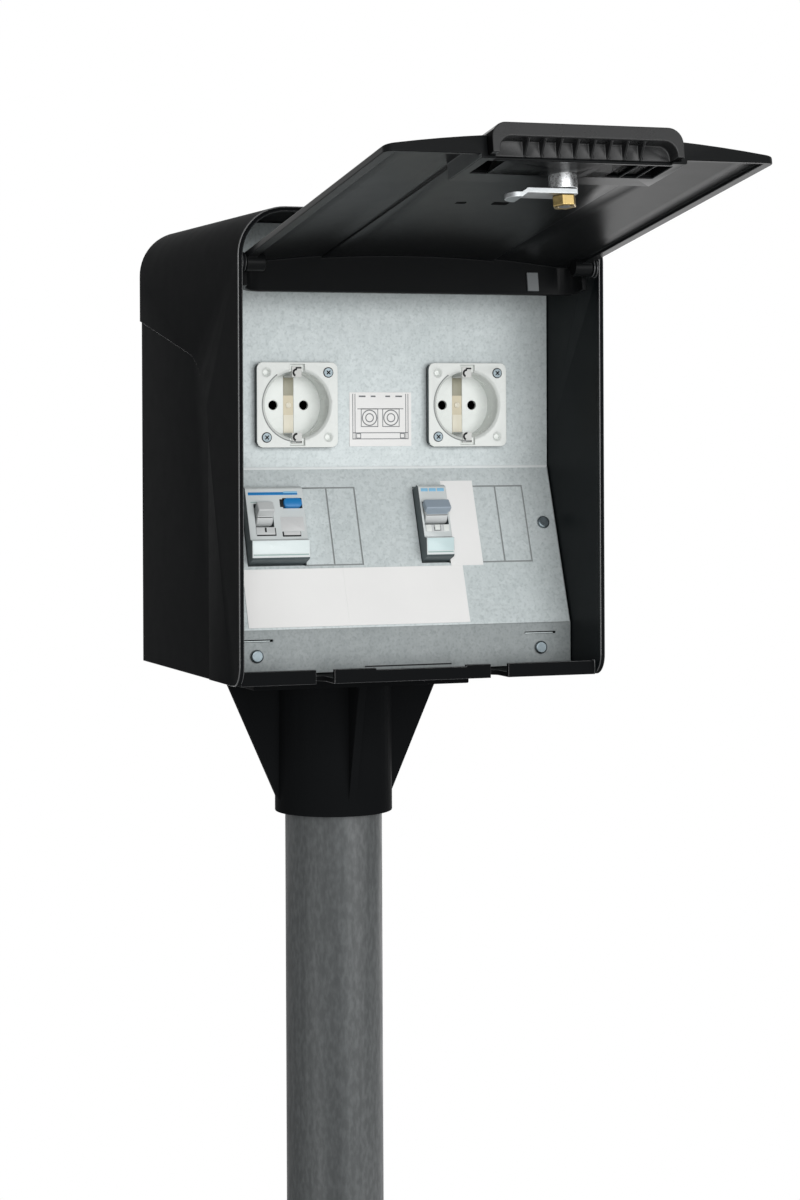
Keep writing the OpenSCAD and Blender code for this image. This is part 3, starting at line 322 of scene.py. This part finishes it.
def slab(points, low, high, edge):
    """A flat piece between two heights, its upper edge bevelled."""
    mesh_data = bmesh.new()
    base = mesh_data.faces.new([mesh_data.verts.new((x, y, low)) for x, y in points])
    grown = bmesh.ops.extrude_face_region(mesh_data, geom=[base])["geom"]
    tops = [item for item in grown if isinstance(item, bmesh.types.BMVert)]
    bmesh.ops.translate(mesh_data, verts=tops, vec=(0, 0, high - low))
    bmesh.ops.recalc_face_normals(mesh_data, faces=mesh_data.faces)
    upper = [item for item in mesh_data.edges if all(vert in tops for vert in item.verts)]
    bmesh.ops.bevel(mesh_data, geom=upper, offset=edge, segments=2, profile=0.5, affect="EDGES")
    return mesh_data


def disc(d, low, high, edge):
    """A round slab: a square whose corners leave only a hair of its sides straight."""
    return slab(rounded_corners(d, d, d / 2 - HAIR), low, high, edge)


def washer(inner, outer, low, high, start=0, sweep=FULL_TURN, steps=64):
    """A flat ring, or a part of one, between two heights."""
    mesh_data = bmesh.new()
    whole = sweep == FULL_TURN
    section = [(inner, low), (outer, low), (outer, high), (inner, high)]
    loops = []
    for step in range(steps if whole else steps + 1):
        angle = math.radians(start + sweep * step / steps)
        loops.append([
            mesh_data.verts.new((r * math.cos(angle), r * math.sin(angle), z)) for r, z in section
        ])
    following = loops[1:] + loops[:1] if whole else loops[1:]
    for loop, ahead in zip(loops, following):
        for i in range(len(section)):
            j = (i + 1) % len(section)
            mesh_data.faces.new([loop[i], ahead[i], ahead[j], loop[j]])
    if not whole:
        mesh_data.faces.new(loops[0])
        mesh_data.faces.new(loops[-1])
    bmesh.ops.recalc_face_normals(mesh_data, faces=mesh_data.faces)
    return mesh_data


# pieces

SMOOTH_UP_TO = math.radians(32)
FLAT_WITHIN = math.radians(0.3)
SHARP_FROM = math.radians(40)
MERGED_WITHIN = 0.03

# (y, z) of the edges along X that are bent and not cut
BENDS = {"mounting_panel": [(PANEL_Y, BEND_Z), (FOOT_Y, FOOT_TOP)]}
BEND_NEAR = 0.05
BEND_R = 0.9

# spots whose edges stay sharp
LEFT_SHARP = {"housing_shell": [(side * 108, RIM_Y + 8, BOX_Z + 0.7) for _, side in SIDES]}
SPOT_R = 2.5

# the housing's edges that are rounded less than the others
SLIM = 0.3
SLIM_BEHIND = RIM_Y + 15
LIP_TOP = BOX_Z + 14
LIP_END = 104

# how far each node's edges are rounded, by the record's slots
SOFTENED = {
    "black_moulding": {
        "collar": 0.8, "housing_shell": 0.5, "back_cover": 0.6, "lid_shell": 0.6, "lid_handle": 0.7,
    },
    "black_rubber": {"socket_seal_left": 0.4, "socket_seal_right": 0.4},
    "galvanised_sheet": {"mounting_panel": 0.2, "lid_clip": 0.3},
    "galvanised_pole": {"pole": 0.5},
    "white_moulding": {
        "socket_frame_left": 0.4, "socket_frame_right": 0.4, "rcbo_body": 0.4, "mcb_body": 0.4,
    },
    "beige_moulding": {"socket_insert_left": 0.2, "socket_insert_right": 0.2},
    "grey_moulding": {"rcbo_toggle": 0.8},
    "slate_moulding": {"mcb_toggle": 0.8},
    "plated_screws": {
        "collar_bolts": 0.4, "collar_nuts": 0.4, "clamp_screws": 0.3, "cover_screws": 0.4,
        "panel_screws": 1.1, "socket_screws": 0.25, "earth_clips_left": 0.15, "earth_clips_right": 0.15,
        "hinge_pins": 0.3,
    },
    "lock_chrome": {"lock_sleeve": 0.4, "lock_barrel": 0.3, "lock_cam": 0.5},
    "brass": {"lock_nut": 0.6},
    "label_paper": {"plan_label": 0.1, "left_label": 0.1, "right_label": 0.1, "strip_label": 0.1},
}
OWN_LOOKS = {
    "lid_shell": LID_BLACK, "lid_handle": HANDLE_BLACK, "lid_clip": CLIP_GREY,
    "earth_clips_left": CLIP_STEEL, "earth_clips_right": CLIP_STEEL, "socket_screws": SCREW_STEEL,
    "panel_screws": SCREW_STEEL, "rcbo_body": BREAKER_GREY, "mcb_body": BREAKER_GREY,
    "lock_cam": CAM_STEEL, "lock_barrel": BARREL_STEEL,
}
# the rounded edges of these nodes take a lighter look, a painted highlight
EDGE_LOOKS = {"housing_shell": EDGE_HIGHLIGHT}
# nodes that show little and keep their CAD mesh
HIDDEN_NODES = {
    # the pin contacts take the dark look, painted shade deep in the pin holes
    "socket_contacts_left": INK_AND_SHADE,
    "socket_contacts_right": INK_AND_SHADE,
    "din_rail": LOOKS["galvanised_sheet"],
    "rail_posts": LOOKS["plated_screws"],
    "terminal_block": LOOKS["grey_moulding"],
}
BODY_OF = {node: body for body, nodes in frame["record"]["behaviour"]["bodies"].items() for node in nodes}


def add_piece(name, mesh_data, slot, body, nodes=(), look=None):
    """Turn a bmesh into a piece that rides on a body and stands for any CAD nodes named."""
    mesh = bpy.data.meshes.new(name)
    mesh_data.normal_update()
    mesh_data.to_mesh(mesh)
    mesh_data.free()
    mesh.polygons.foreach_set("use_smooth", [True] * len(mesh.polygons))
    mesh.set_sharp_from_angle(angle=SMOOTH_UP_TO)
    mesh.materials.append(look or LOOKS[slot])
    piece = bpy.data.objects.new(name, mesh)
    bpy.context.scene.collection.objects.link(piece)
    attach(piece, body)
    if nodes:
        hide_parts(*nodes)
    return piece


def cad_mesh(node):
    """A copy of a CAD node's mesh with its flat faces joined up."""
    mesh_data = bmesh.new()
    mesh_data.from_mesh(frame["nodes"][node].data)
    bmesh.ops.remove_doubles(mesh_data, verts=mesh_data.verts, dist=MERGED_WITHIN * MM)
    bmesh.ops.dissolve_limit(
        mesh_data, angle_limit=FLAT_WITHIN, verts=mesh_data.verts, edges=mesh_data.edges
    )
    return mesh_data


def round_bends(mesh_data, bends):
    """Round the edges that run along X at each (y, z)."""
    def on_bend(vert):
        at = vert.co / MM
        return any(abs(at.y - y) < BEND_NEAR and abs(at.z - z) < BEND_NEAR for y, z in bends)

    edges = [edge for edge in mesh_data.edges if all(on_bend(vert) for vert in edge.verts)]
    bmesh.ops.bevel(
        mesh_data, geom=edges, offset=BEND_R * MM, segments=4, profile=0.5, affect="EDGES"
    )


def is_slim(node, middle):
    """The edges of the housing's side fields and front lip catch hardly any light, so their painted
    highlight stays thin.
    """
    on_lip = middle.z < LIP_TOP and abs(middle.x) < LIP_END
    return node == "housing_shell" and (middle.y > SLIM_BEHIND or on_lip)


def choose_edges(mesh_data, node):
    """Mark the sharp edges to round, some of them less, and leave out those beside a few spots."""
    spots = LEFT_SHARP.get(node, [])
    weight = mesh_data.edges.layers.float.new("bevel_weight_edge")
    for edge in mesh_data.edges:
        middle = (edge.verts[0].co + edge.verts[1].co) / (2 * MM)
        clear = all((middle - Vector(spot)).length > SPOT_R for spot in spots)
        if clear and edge.calc_face_angle(0) > SHARP_FROM:
            edge[weight] = SLIM if is_slim(node, middle) else 1


def softened(node, slot, body, edge, look=None):
    """A CAD node with its sharp edges rounded, most of them by a few tenths of a millimetre."""
    mesh_data = cad_mesh(node)
    if node in BENDS:
        round_bends(mesh_data, BENDS[node])
    choose_edges(mesh_data, node)
    piece = add_piece(f"{node}_finish", mesh_data, slot, body, [node], look)
    rounding = piece.modifiers.new("rounding", "BEVEL")
    rounding.width = edge * MM
    rounding.segments = 2
    rounding.limit_method = "WEIGHT"
    rounding.use_clamp_overlap = False
    rounding.harden_normals = True
    # the bevel's faces take that lighter look, a painted highlight along the edges
    if node in EDGE_LOOKS:
        piece.data.materials.append(EDGE_LOOKS[node])
        rounding.material = 1
    return piece


def add_detail(name, mesh_data, where, slot, body="post", look=None):
    """A small finishing piece, drawn in millimetres in one of the places."""
    mesh_data.transform(where)
    return add_piece(name, mesh_data, slot, body, look=look)


def add_plate(name, where, middle, size, heights, slot, look=None, body="post", corner=0.2, edge=0.05):
    """A thin rectangular plate or print on a face."""
    flat = slab(rounded_corners(*size, corner), *heights, edge)
    return add_detail(name, flat, moved(where, *middle), slot, body, look)


finished = {}
for slot, edges in SOFTENED.items():
    for node, edge in edges.items():
        finished[node] = softened(node, slot, BODY_OF[node], edge, OWN_LOOKS.get(node))

for node, look in HIDDEN_NODES.items():
    materials = frame["nodes"][node].data.materials
    materials.clear()
    materials.append(look)


# parts of a piece that have a look of their own, several of them painted light and shade

# how nearly a normal lies along an axis, as a cosine
ALONG = 0.9
LEANING = 0.7
ACROSS = 0.5

WALLS_FROM = 90
SOCKET_EDGE = 24
SCORED_UP_TO = 30
SCORE_Z = (-0.6, -0.05)
BEND_UP_SLOPE = 36.25
TOGGLE_AT = Vector((4.1, 6))
DRUM_R = 5.6
FRAME_SIDE_X = -55.5
FRAME_BACK = -LID_L + 44
POCKET_NEAR = 13
POCKET_Y = (-LID_L + 5.5, -LID_L + 30.5)


def paint(node, where, chosen, look):
    """Give a look to the faces whose middle and normal, seen from a place, are the chosen ones."""
    mesh = finished[node].data
    mesh.materials.append(look)
    index = len(mesh.materials) - 1
    to_place = where.inverted()
    turn = to_place.to_3x3()
    for face in mesh.polygons:
        if chosen(to_place @ face.center, (turn @ face.normal).normalized()):
            face.material_index = index


def inside_wall(middle, normal):
    """Far out to one side and looking back across the box."""
    return normal.x * middle.x < -WALLS_FROM


# faces that look left or down; these take painted shade
def on_dark_side(middle, normal):
    return min(normal.x, normal.y) < -LEANING


def on_socket_side(middle, normal):
    return max(abs(middle.x), abs(middle.y)) > SOCKET_EDGE and on_dark_side(middle, normal)


def in_score(middle, normal):
    return SCORE_Z[0] < middle.z < SCORE_Z[1] and abs(middle.y) < SCORED_UP_TO


def on_upper_bend(middle, normal):
    return abs(middle.y - BEND_UP_SLOPE) < 1 and abs(middle.z) < 0.5


def on_foot(middle, normal):
    return middle.z < FOOT_TOP and normal.y < -ALONG


def in_drum(middle, normal):
    return (middle.yz - TOGGLE_AT).length < DRUM_R


def on_frame_side(middle, normal):
    return normal.x < -ALONG and abs(middle.x - FRAME_SIDE_X) < 1 and middle.y < FRAME_BACK


def faces_out(middle, normal):
    return normal.z > ALONG


def in_pocket(middle, normal):
    return abs(middle.x) > POCKET_NEAR and POCKET_Y[0] < middle.y < POCKET_Y[1] and normal.z < ACROSS


# the housing's inside walls take the glossier black, a painted sheen
paint("housing_shell", IN_FRAME, inside_wall, INNER_SHEEN_BLACK)
for tag, side in SIDES:
    paint(f"socket_frame_{tag}", at_socket(side), on_socket_side, FRAME_SHADE)
# the scored grooves of the panel are darkened, a painted shade
paint("mounting_panel", ON_SLOPE, in_score, SCORE_PAINTED_SHADE)
# the upper bend takes a painted highlight
paint("mounting_panel", ON_SLOPE, on_upper_bend, BEND_HIGHLIGHT)
# the foot of the panel is darkened, a painted shade
paint("mounting_panel", IN_FRAME, on_foot, FOOT_SHADE_ZINC)
for breaker in ("rcbo", "mcb"):
    paint(f"{breaker}_toggle", ON_SLOPE, in_drum, WINDOW_GREY)
    # the breakers' faces that look left or down take painted shade
    paint(f"{breaker}_body", ON_SLOPE, on_dark_side, SIDE_SHADE_GREY)
# the handle's pockets are darkened, a painted shade
paint("lid_handle", ON_LID, in_pocket, HOLLOW_SHADE)
# one side face under the lid is lightened, painted light
paint("lid_shell", ON_LID, on_frame_side, FRAME_SIDE_LIGHT)
paint("lock_sleeve", ON_LID, faces_out, BARREL_STEEL)


# print lies on a face and reaches a little way into it

PRINT_T = 0.08
PRINT_SUNK = 0.2


def printed_on(face, rise=PRINT_T):
    """The two heights of a print or plate on a face."""
    return (face - PRINT_SUNK, face + rise)


# sockets

SOCKET_FACE = 6
RING_HEIGHTS = (SOCKET_FACE - 0.1, SOCKET_FACE + PRINT_T)
MOUTH_R = 21.25
RIM_W = 0.7
RIM_ARC = (125, 150)
BRIDGE_TOP = -11.9
BRIDGE_PART = 11.5
BRIDGE_SIZE = (6, BRIDGE_PART)
BRIDGE_RISE = 0.3
BRIDGE_SCREW_RISE = 0.7
SCREW_OFF = 19
SCREW_R = 2.6
SCREW_RING_W = 0.5
SCREW_SLOT = (3.2, 0.7)
SCREW_TOP = SOCKET_FACE + 0.6
HOLE_D = 3.4
HOLE_FLOOR = SOCKET_FACE - 2
HOLE_FLOOR_T = 0.4
CLIP_FACE = 4.8
CURL_R = (1.3, 2.5)
CURL_ARC = (80, 170)
CURL_STEPS = 24
CURL_AT = (-0.2, 18.9)
HOOK_BAR = (3.6, 0.9)
HOOK_BAR_AT = (1.1, 21.7)


def add_bridge(tag, where):
    """The bridge in a socket's floor, its upper part olive and its lower part cream, and the screw
    between them.
    """
    for height, end, look in (("upper", 1, OLIVE), ("lower", -1, CREAM)):
        add_plate(
            f"bridge_{height}_{tag}", where, (0, end * BRIDGE_PART), BRIDGE_SIZE,
            printed_on(BRIDGE_TOP, BRIDGE_RISE), "beige_moulding", look,
        )
    screw = disc(HOLE_D, *printed_on(BRIDGE_TOP, BRIDGE_SCREW_RISE), edge=0.3)
    add_detail(f"bridge_screw_{tag}", screw, where, "beige_moulding", look=CREAM)


def add_corners(name, where, end):
    """A screw's dark ring and cross slot in one corner, painted shade round its head and in its slot, and
    the floor of the empty hole in the next.
    """
    spot = moved(where, end * SCREW_OFF, end * SCREW_OFF)
    ring = washer(SCREW_R, SCREW_R + SCREW_RING_W, *RING_HEIGHTS)
    add_detail(f"screw_ring_shade_{name}", ring, spot, "plated_screws", look=INK_AND_SHADE)
    for turn in (0, 90):
        add_plate(
            f"screw_slot_shade_{name}_{turn}", spot @ Matrix.Rotation(math.radians(45 + turn), 4, "Z"),
            (0, 0), SCREW_SLOT, printed_on(SCREW_TOP), "plated_screws", INK_AND_SHADE,
        )
    hole = moved(where, -end * SCREW_OFF, end * SCREW_OFF)
    hole_floor = disc(HOLE_D, HOLE_FLOOR - HOLE_FLOOR_T, HOLE_FLOOR, edge=0.1)
    add_detail(f"hole_floor_{name}", hole_floor, hole, "white_moulding")


def add_hook(name, where, end):
    """Painted shade under an earth clip's hook: a dark curl, and a dark bar beyond it."""
    heights = printed_on(CLIP_FACE)
    curl = washer(*CURL_R, *heights, *CURL_ARC, CURL_STEPS)
    x, y = CURL_AT
    add_detail(f"clip_hook_shade_{name}", curl, moved(where, x, end * y), "plated_screws", look=INK_AND_SHADE)
    x, y = HOOK_BAR_AT
    add_plate(f"clip_shade_line_{name}", where, (x, end * y), HOOK_BAR, heights, "plated_screws", INK_AND_SHADE)


for tag, side in SIDES:
    where = at_socket(side)
    rim = washer(MOUTH_R, MOUTH_R + RIM_W, *RING_HEIGHTS, *RIM_ARC)
    add_detail(f"socket_rim_{tag}", rim, where, "white_moulding", look=RIM_SHADE)
    add_bridge(tag, where)
    for height, end in (("low", -1), ("top", 1)):
        add_corners(f"{tag}_{height}", where, end)
        add_hook(f"{tag}_{height}", where, end)


# breakers

MODULE_W = 17.5
NOSE_OUT = 9
RAISED_BY = 0.5
ON_NOSE = printed_on(NOSE_OUT)
RAISED = printed_on(NOSE_OUT, RAISED_BY)
ON_RAISED = printed_on(NOSE_OUT + RAISED_BY)
RCBO_X = -71
RCBO_TOGGLE_X = -78.75
MCB_X = 27.25

# the middle, size, heights, slot and own look of each print, plate and patch of painted shade
RCBO_PRINTS = {
    "stripe": ((-76.2, 17.4), (21.5, 1.8), ON_NOSE, "blue_moulding", None),
    "stripe_end": ((-61.2, 17.1), (8.5, 1.1), ON_NOSE, "blue_moulding", None),
    "stripe_pale": ((-61.2, 18.2), (8.5, 1.0), ON_NOSE, "blue_moulding", PALE_BLUE),
    # a painted shadow along the top edge of the toggle's pocket
    "pocket_shadow_line": ((-80.2, 12.2), (11.5, 0.5), ON_NOSE, "grey_moulding", COVER_LINE),
    "window_edge": ((RCBO_TOGGLE_X + 0.4, -5.9), (11.8, 4.9), ON_NOSE, "grey_moulding", INK_AND_SHADE),
    "window": ((RCBO_TOGGLE_X, -5.4), (11.2, 4.4), RAISED, "grey_moulding", WINDOW_GREY),
    "tick": ((RCBO_TOGGLE_X, -4.8), (1.1, 2.8), ON_RAISED, "black_moulding", INK_AND_SHADE),
    "plate": ((-62, -1.2), (14, 8.6), ON_NOSE, "white_moulding", PLATE_GREY),
    "tab_shade": ((-63.1, -7.4), (11.2, 3.1), ON_NOSE, "black_moulding", INK_AND_SHADE),
    "tab": ((-62.9, -7.0), (10, 2.1), RAISED, "white_moulding", PLATE_GREY),
    "button_shade": ((-66.6, 11.5), (3.4, 4.8), ON_NOSE, "black_moulding", INK_AND_SHADE),
}
MCB_PRINTS = {
    "dash_left": ((MCB_X - 5.1, 18.7), (4.4, 2), ON_NOSE, "blue_moulding", PALE_BLUE),
    "dash_middle": ((MCB_X, 18.7), (4.4, 2), ON_NOSE, "blue_moulding", PALE_BLUE),
    "dash_right": ((MCB_X + 5.1, 18.7), (4.4, 2), ON_NOSE, "blue_moulding", PALE_BLUE),
    "window": ((MCB_X, -5.3), (14.6, 4.4), ON_NOSE, "grey_moulding", WINDOW_GREY),
    "block_left": ((MCB_X - 5.5, -5.2), (3.4, 4), RAISED, "white_moulding", None),
    "block_right": ((MCB_X + 5.5, -5.2), (3.4, 4), RAISED, "white_moulding", None),
    "tongue_shade": ((MCB_X, -5.1), (4.4, 3.8), ON_NOSE, "black_moulding", SCORE_PAINTED_SHADE),
    "tongue": ((MCB_X, -4.8), (3.2, 3.2), RAISED, "white_moulding", None),
}

# the sloping cover under each breaker's nose: x across, y up it, z out of it
COVER_FALL = math.atan2(3, 9.5)
ON_COVER = moved(ON_SLOPE, 0, -12, 12) @ Matrix.Rotation(COVER_FALL, 4, "X")
COVERS = {"rcbo": (RCBO_X, 2 * MODULE_W, COVER_WHITE), "mcb": (MCB_X, MODULE_W, COVER_CYAN)}
COVER_LINE_Y = -8.4
COVER_FACE_Y = -3.9

BUTTON_AT = (-60.65, 11.5)
BUTTON_SIZE = (11, 5.5)
BUTTON_CORNER = 2.2
BUTTON_HEIGHTS = (2, 10.8)
BUTTON_EDGE = 0.7

for name, prints in (("rcbo", RCBO_PRINTS), ("mcb", MCB_PRINTS)):
    for part, (middle, size, heights, slot, look) in prints.items():
        add_plate(f"{name}_{part}", ON_SLOPE, middle, size, heights, slot, look)

for name, (x, w, face) in COVERS.items():
    add_plate(
        f"{name}_cover_line", ON_COVER, (x, COVER_LINE_Y), (w - 1.6, 0.7), printed_on(0),
        "white_moulding", COVER_LINE,
    )
    add_plate(
        f"{name}_cover_face", ON_COVER, (x, COVER_FACE_Y), (w - 0.9, 7.4), printed_on(0, 0.1),
        "white_moulding", face,
    )

button = slab(rounded_corners(*BUTTON_SIZE, BUTTON_CORNER), *BUTTON_HEIGHTS, BUTTON_EDGE)
button.transform(moved(ON_SLOPE, *BUTTON_AT))
add_piece("rcbo_test_button_finish", button, "blue_moulding", "rcbo_test", ["rcbo_test_button"])


# label between the sockets: a plan of the two sockets in their box

PLAN_INK = (0.3, 0.44)
PLAN_LINE = 0.45
PLAN_SIDES = (-17.4, -16, 16, 17.4)
PLAN_SIDE_Y = 1.6
PLAN_SIDE_L = 27
PLAN_FLOORS = (-11.6, -8)
PLAN_FLOOR_L = 35
PLAN_SHELF_Y = 6.2
PLAN_SHELF_L = 29
PLAN_SOCKETS = {"left": -6.9, "right": 6.6}
PLAN_SOCKET_Y = 0.9
PLAN_SQUARE = 10.4
PLAN_RINGS = (2.1, 4.2)
PLAN_RING_W = 0.6
PLAN_FOOT_AT = (13.8, -9.8)
PLAN_FOOT = 2.6
# how far out each short bar at the top lies, and its length
PLAN_BARS = {"catch": (11.5, 4.2), "hinge": (4.6, 3)}
PLAN_BAR_Y = 13.6
PLAN_BAR_H = 0.9


def add_line(name, middle, size):
    add_plate(name, ON_PLAN, middle, size, PLAN_INK, "label_paper", FAINT_INK, corner=0.05, edge=0.02)


def add_frame(name, middle, size):
    """Four thin lines round a square."""
    x, y = middle
    for tag, end in (("low", -1), ("high", 1)):
        add_line(f"{name}_{tag}", (x, y + end * size / 2), (size + PLAN_LINE, PLAN_LINE))
        add_line(f"{name}_side_{tag}", (x + end * size / 2, y), (PLAN_LINE, size))


for i, x in enumerate(PLAN_SIDES):
    add_line(f"plan_side_{i}", (x, PLAN_SIDE_Y), (PLAN_LINE, PLAN_SIDE_L))
for i, y in enumerate(PLAN_FLOORS):
    add_line(f"plan_floor_{i}", (0, y), (PLAN_FLOOR_L, PLAN_LINE))
add_line("plan_shelf", (0, PLAN_SHELF_Y), (PLAN_SHELF_L, PLAN_LINE))
for tag, side in SIDES:
    socket_at = (PLAN_SOCKETS[tag], PLAN_SOCKET_Y)
    foot_x, foot_y = PLAN_FOOT_AT
    add_frame(f"plan_square_{tag}", socket_at, PLAN_SQUARE)
    add_frame(f"plan_foot_{tag}", (side * foot_x, foot_y), PLAN_FOOT)
    for bar, (out, length) in PLAN_BARS.items():
        add_line(f"plan_{bar}_{tag}", (side * out, PLAN_BAR_Y), (length, PLAN_BAR_H))
    for r in PLAN_RINGS:
        ring = washer(r, r + PLAN_RING_W, *PLAN_INK)
        add_detail(
            f"plan_ring_{tag}_{r}", ring, moved(ON_PLAN, *socket_at), "label_paper", look=FAINT_INK
        )


# foot of the panel: a tongue left standing in each slot, and a strip of painted shade for the dark gap
# under it

FOOT_SLOT_X = 88
FOOT_SLOT_Z = 22.7
TONGUE_AT = (-0.7, -0.2)
TONGUE_SIZE = (17.8, 0.6)
TONGUE_HEIGHTS = (-1.2, -0.4)
GAP_AT = (4.5, 6.1)
GAP_SIZE = (54, 0.8)

for tag, side in SIDES:
    add_plate(
        f"foot_tongue_{tag}", moved(ON_FOOT, side * FOOT_SLOT_X, FOOT_SLOT_Z), TONGUE_AT, TONGUE_SIZE,
        TONGUE_HEIGHTS, "galvanised_sheet", edge=0.1,
    )
add_plate("foot_gap_shade", ON_FOOT, GAP_AT, GAP_SIZE, printed_on(0), "galvanised_sheet", INK_AND_SHADE)


# inside of the lid: two shallow marks on its thicker middle, darkened with painted shade

# x across, width and length
LID_MARKS = {"faint": (-17, 6.5, 4), "deep": (6, 9, 6)}
MARK_Y = -107
MARK_CORNER = 1.2
LID_INSIDE_R = 689.4
LID_INSIDE_TOP = 7.8

for tag, (x, w, l) in LID_MARKS.items():
    inside = LID_INSIDE_TOP - x * x / (2 * LID_INSIDE_R)
    add_plate(
        f"lid_mark_{tag}", ON_LID, (x, MARK_Y), (w, l), (inside - 0.1, inside + 0.3),
        "black_moulding", HOLLOW_SHADE, "lid", MARK_CORNER,
    )


# stage, light and camera, in metres

FLOOR_R = 1.5
WORLD_GREY = 0.38
MIDDLE = (0, -0.1, 1.05)
LID_UNDERSIDE = (0.05, -0.35, 1.16)
# where each lamp stands, what it aims at, its size and its watts
SOFTBOXES = {
    "key": ((0.05, -2.7, 1.5), MIDDLE, (3, 1.1), 43),
    "low_fill": ((0.1, -2.5, 0.7), MIDDLE, (2, 0.5), 11),
    "back_card": ((0.9, 1.0, 0.72), LID_UNDERSIDE, (1.3, 0.9), 3),
}
# fitted to the edges in the photo
CAMERA_AT = (-0.5639, -1.6516, 1.0394)
CAMERA_TURN = -20.245
CAMERA_ROLL = -0.26
CAMERA_LENS = 84
CAMERA_SHIFT = -0.1365


def add_floor():
    bpy.ops.mesh.primitive_circle_add(vertices=96, radius=FLOOR_R, fill_type="NGON", location=(0, 0, 0))
    floor = bpy.context.object
    floor.name = "floor"
    look = Shading("floor_pale", Roughness=0.9)
    look.colour(look.clouds(look.noise(scale=6, detail=2), tinted(WHITE, 0.84), tinted(WHITE, 0.87)))
    floor.data.materials.append(look.material)


def add_softbox(name, at, aim, size, energy):
    light = bpy.data.lights.new(name, "AREA")
    light.shape = "RECTANGLE"
    light.size, light.size_y = size
    light.energy = energy
    lamp = bpy.data.objects.new(name, light)
    lamp.location = at
    lamp.rotation_euler = (Vector(aim) - Vector(at)).to_track_quat("-Z", "Y").to_euler()
    bpy.context.scene.collection.objects.link(lamp)


def add_world(grey):
    """White to the camera and to mirrored or refracted rays, and a soft grey as light on the object."""
    world = bpy.data.worlds.new("studio")
    world.use_nodes = True
    bpy.context.scene.world = world
    nodes = world.node_tree.nodes
    links = world.node_tree.links
    soft = nodes["Background"]
    soft.inputs["Color"].default_value = (*WHITE, 1)
    soft.inputs["Strength"].default_value = grey
    white = nodes.new("ShaderNodeBackground")
    white.inputs["Color"].default_value = (*WHITE, 1)
    path = nodes.new("ShaderNodeLightPath")
    mix = nodes.new("ShaderNodeMixShader")
    seen = path.outputs["Is Camera Ray"]
    for ray in ("Is Glossy Ray", "Is Transmission Ray"):
        either = nodes.new("ShaderNodeMath")
        either.operation = "MAXIMUM"
        links.new(seen, either.inputs[0])
        links.new(path.outputs[ray], either.inputs[1])
        seen = either.outputs[0]
    links.new(seen, mix.inputs[0])
    links.new(soft.outputs[0], mix.inputs[1])
    links.new(white.outputs[0], mix.inputs[2])
    links.new(mix.outputs[0], nodes["World Output"].inputs["Surface"])


def add_camera():
    data = bpy.data.cameras.new("camera")
    data.lens = CAMERA_LENS
    data.sensor_width = 36
    data.shift_y = CAMERA_SHIFT
    data.clip_end = 50
    camera = bpy.data.objects.new("camera", data)
    turn = Matrix.Rotation(math.radians(CAMERA_TURN), 4, "Z") @ Matrix.Rotation(math.radians(90), 4, "X")
    roll = Matrix.Rotation(math.radians(CAMERA_ROLL), 4, "Z")
    camera.matrix_world = Matrix.Translation(CAMERA_AT) @ turn @ roll
    bpy.context.scene.collection.objects.link(camera)
    bpy.context.scene.camera = camera


add_floor()
add_world(WORLD_GREY)
for name, lamp in SOFTBOXES.items():
    add_softbox(name, *lamp)
add_camera()
bpy.context.scene.view_settings.view_transform = "Standard"
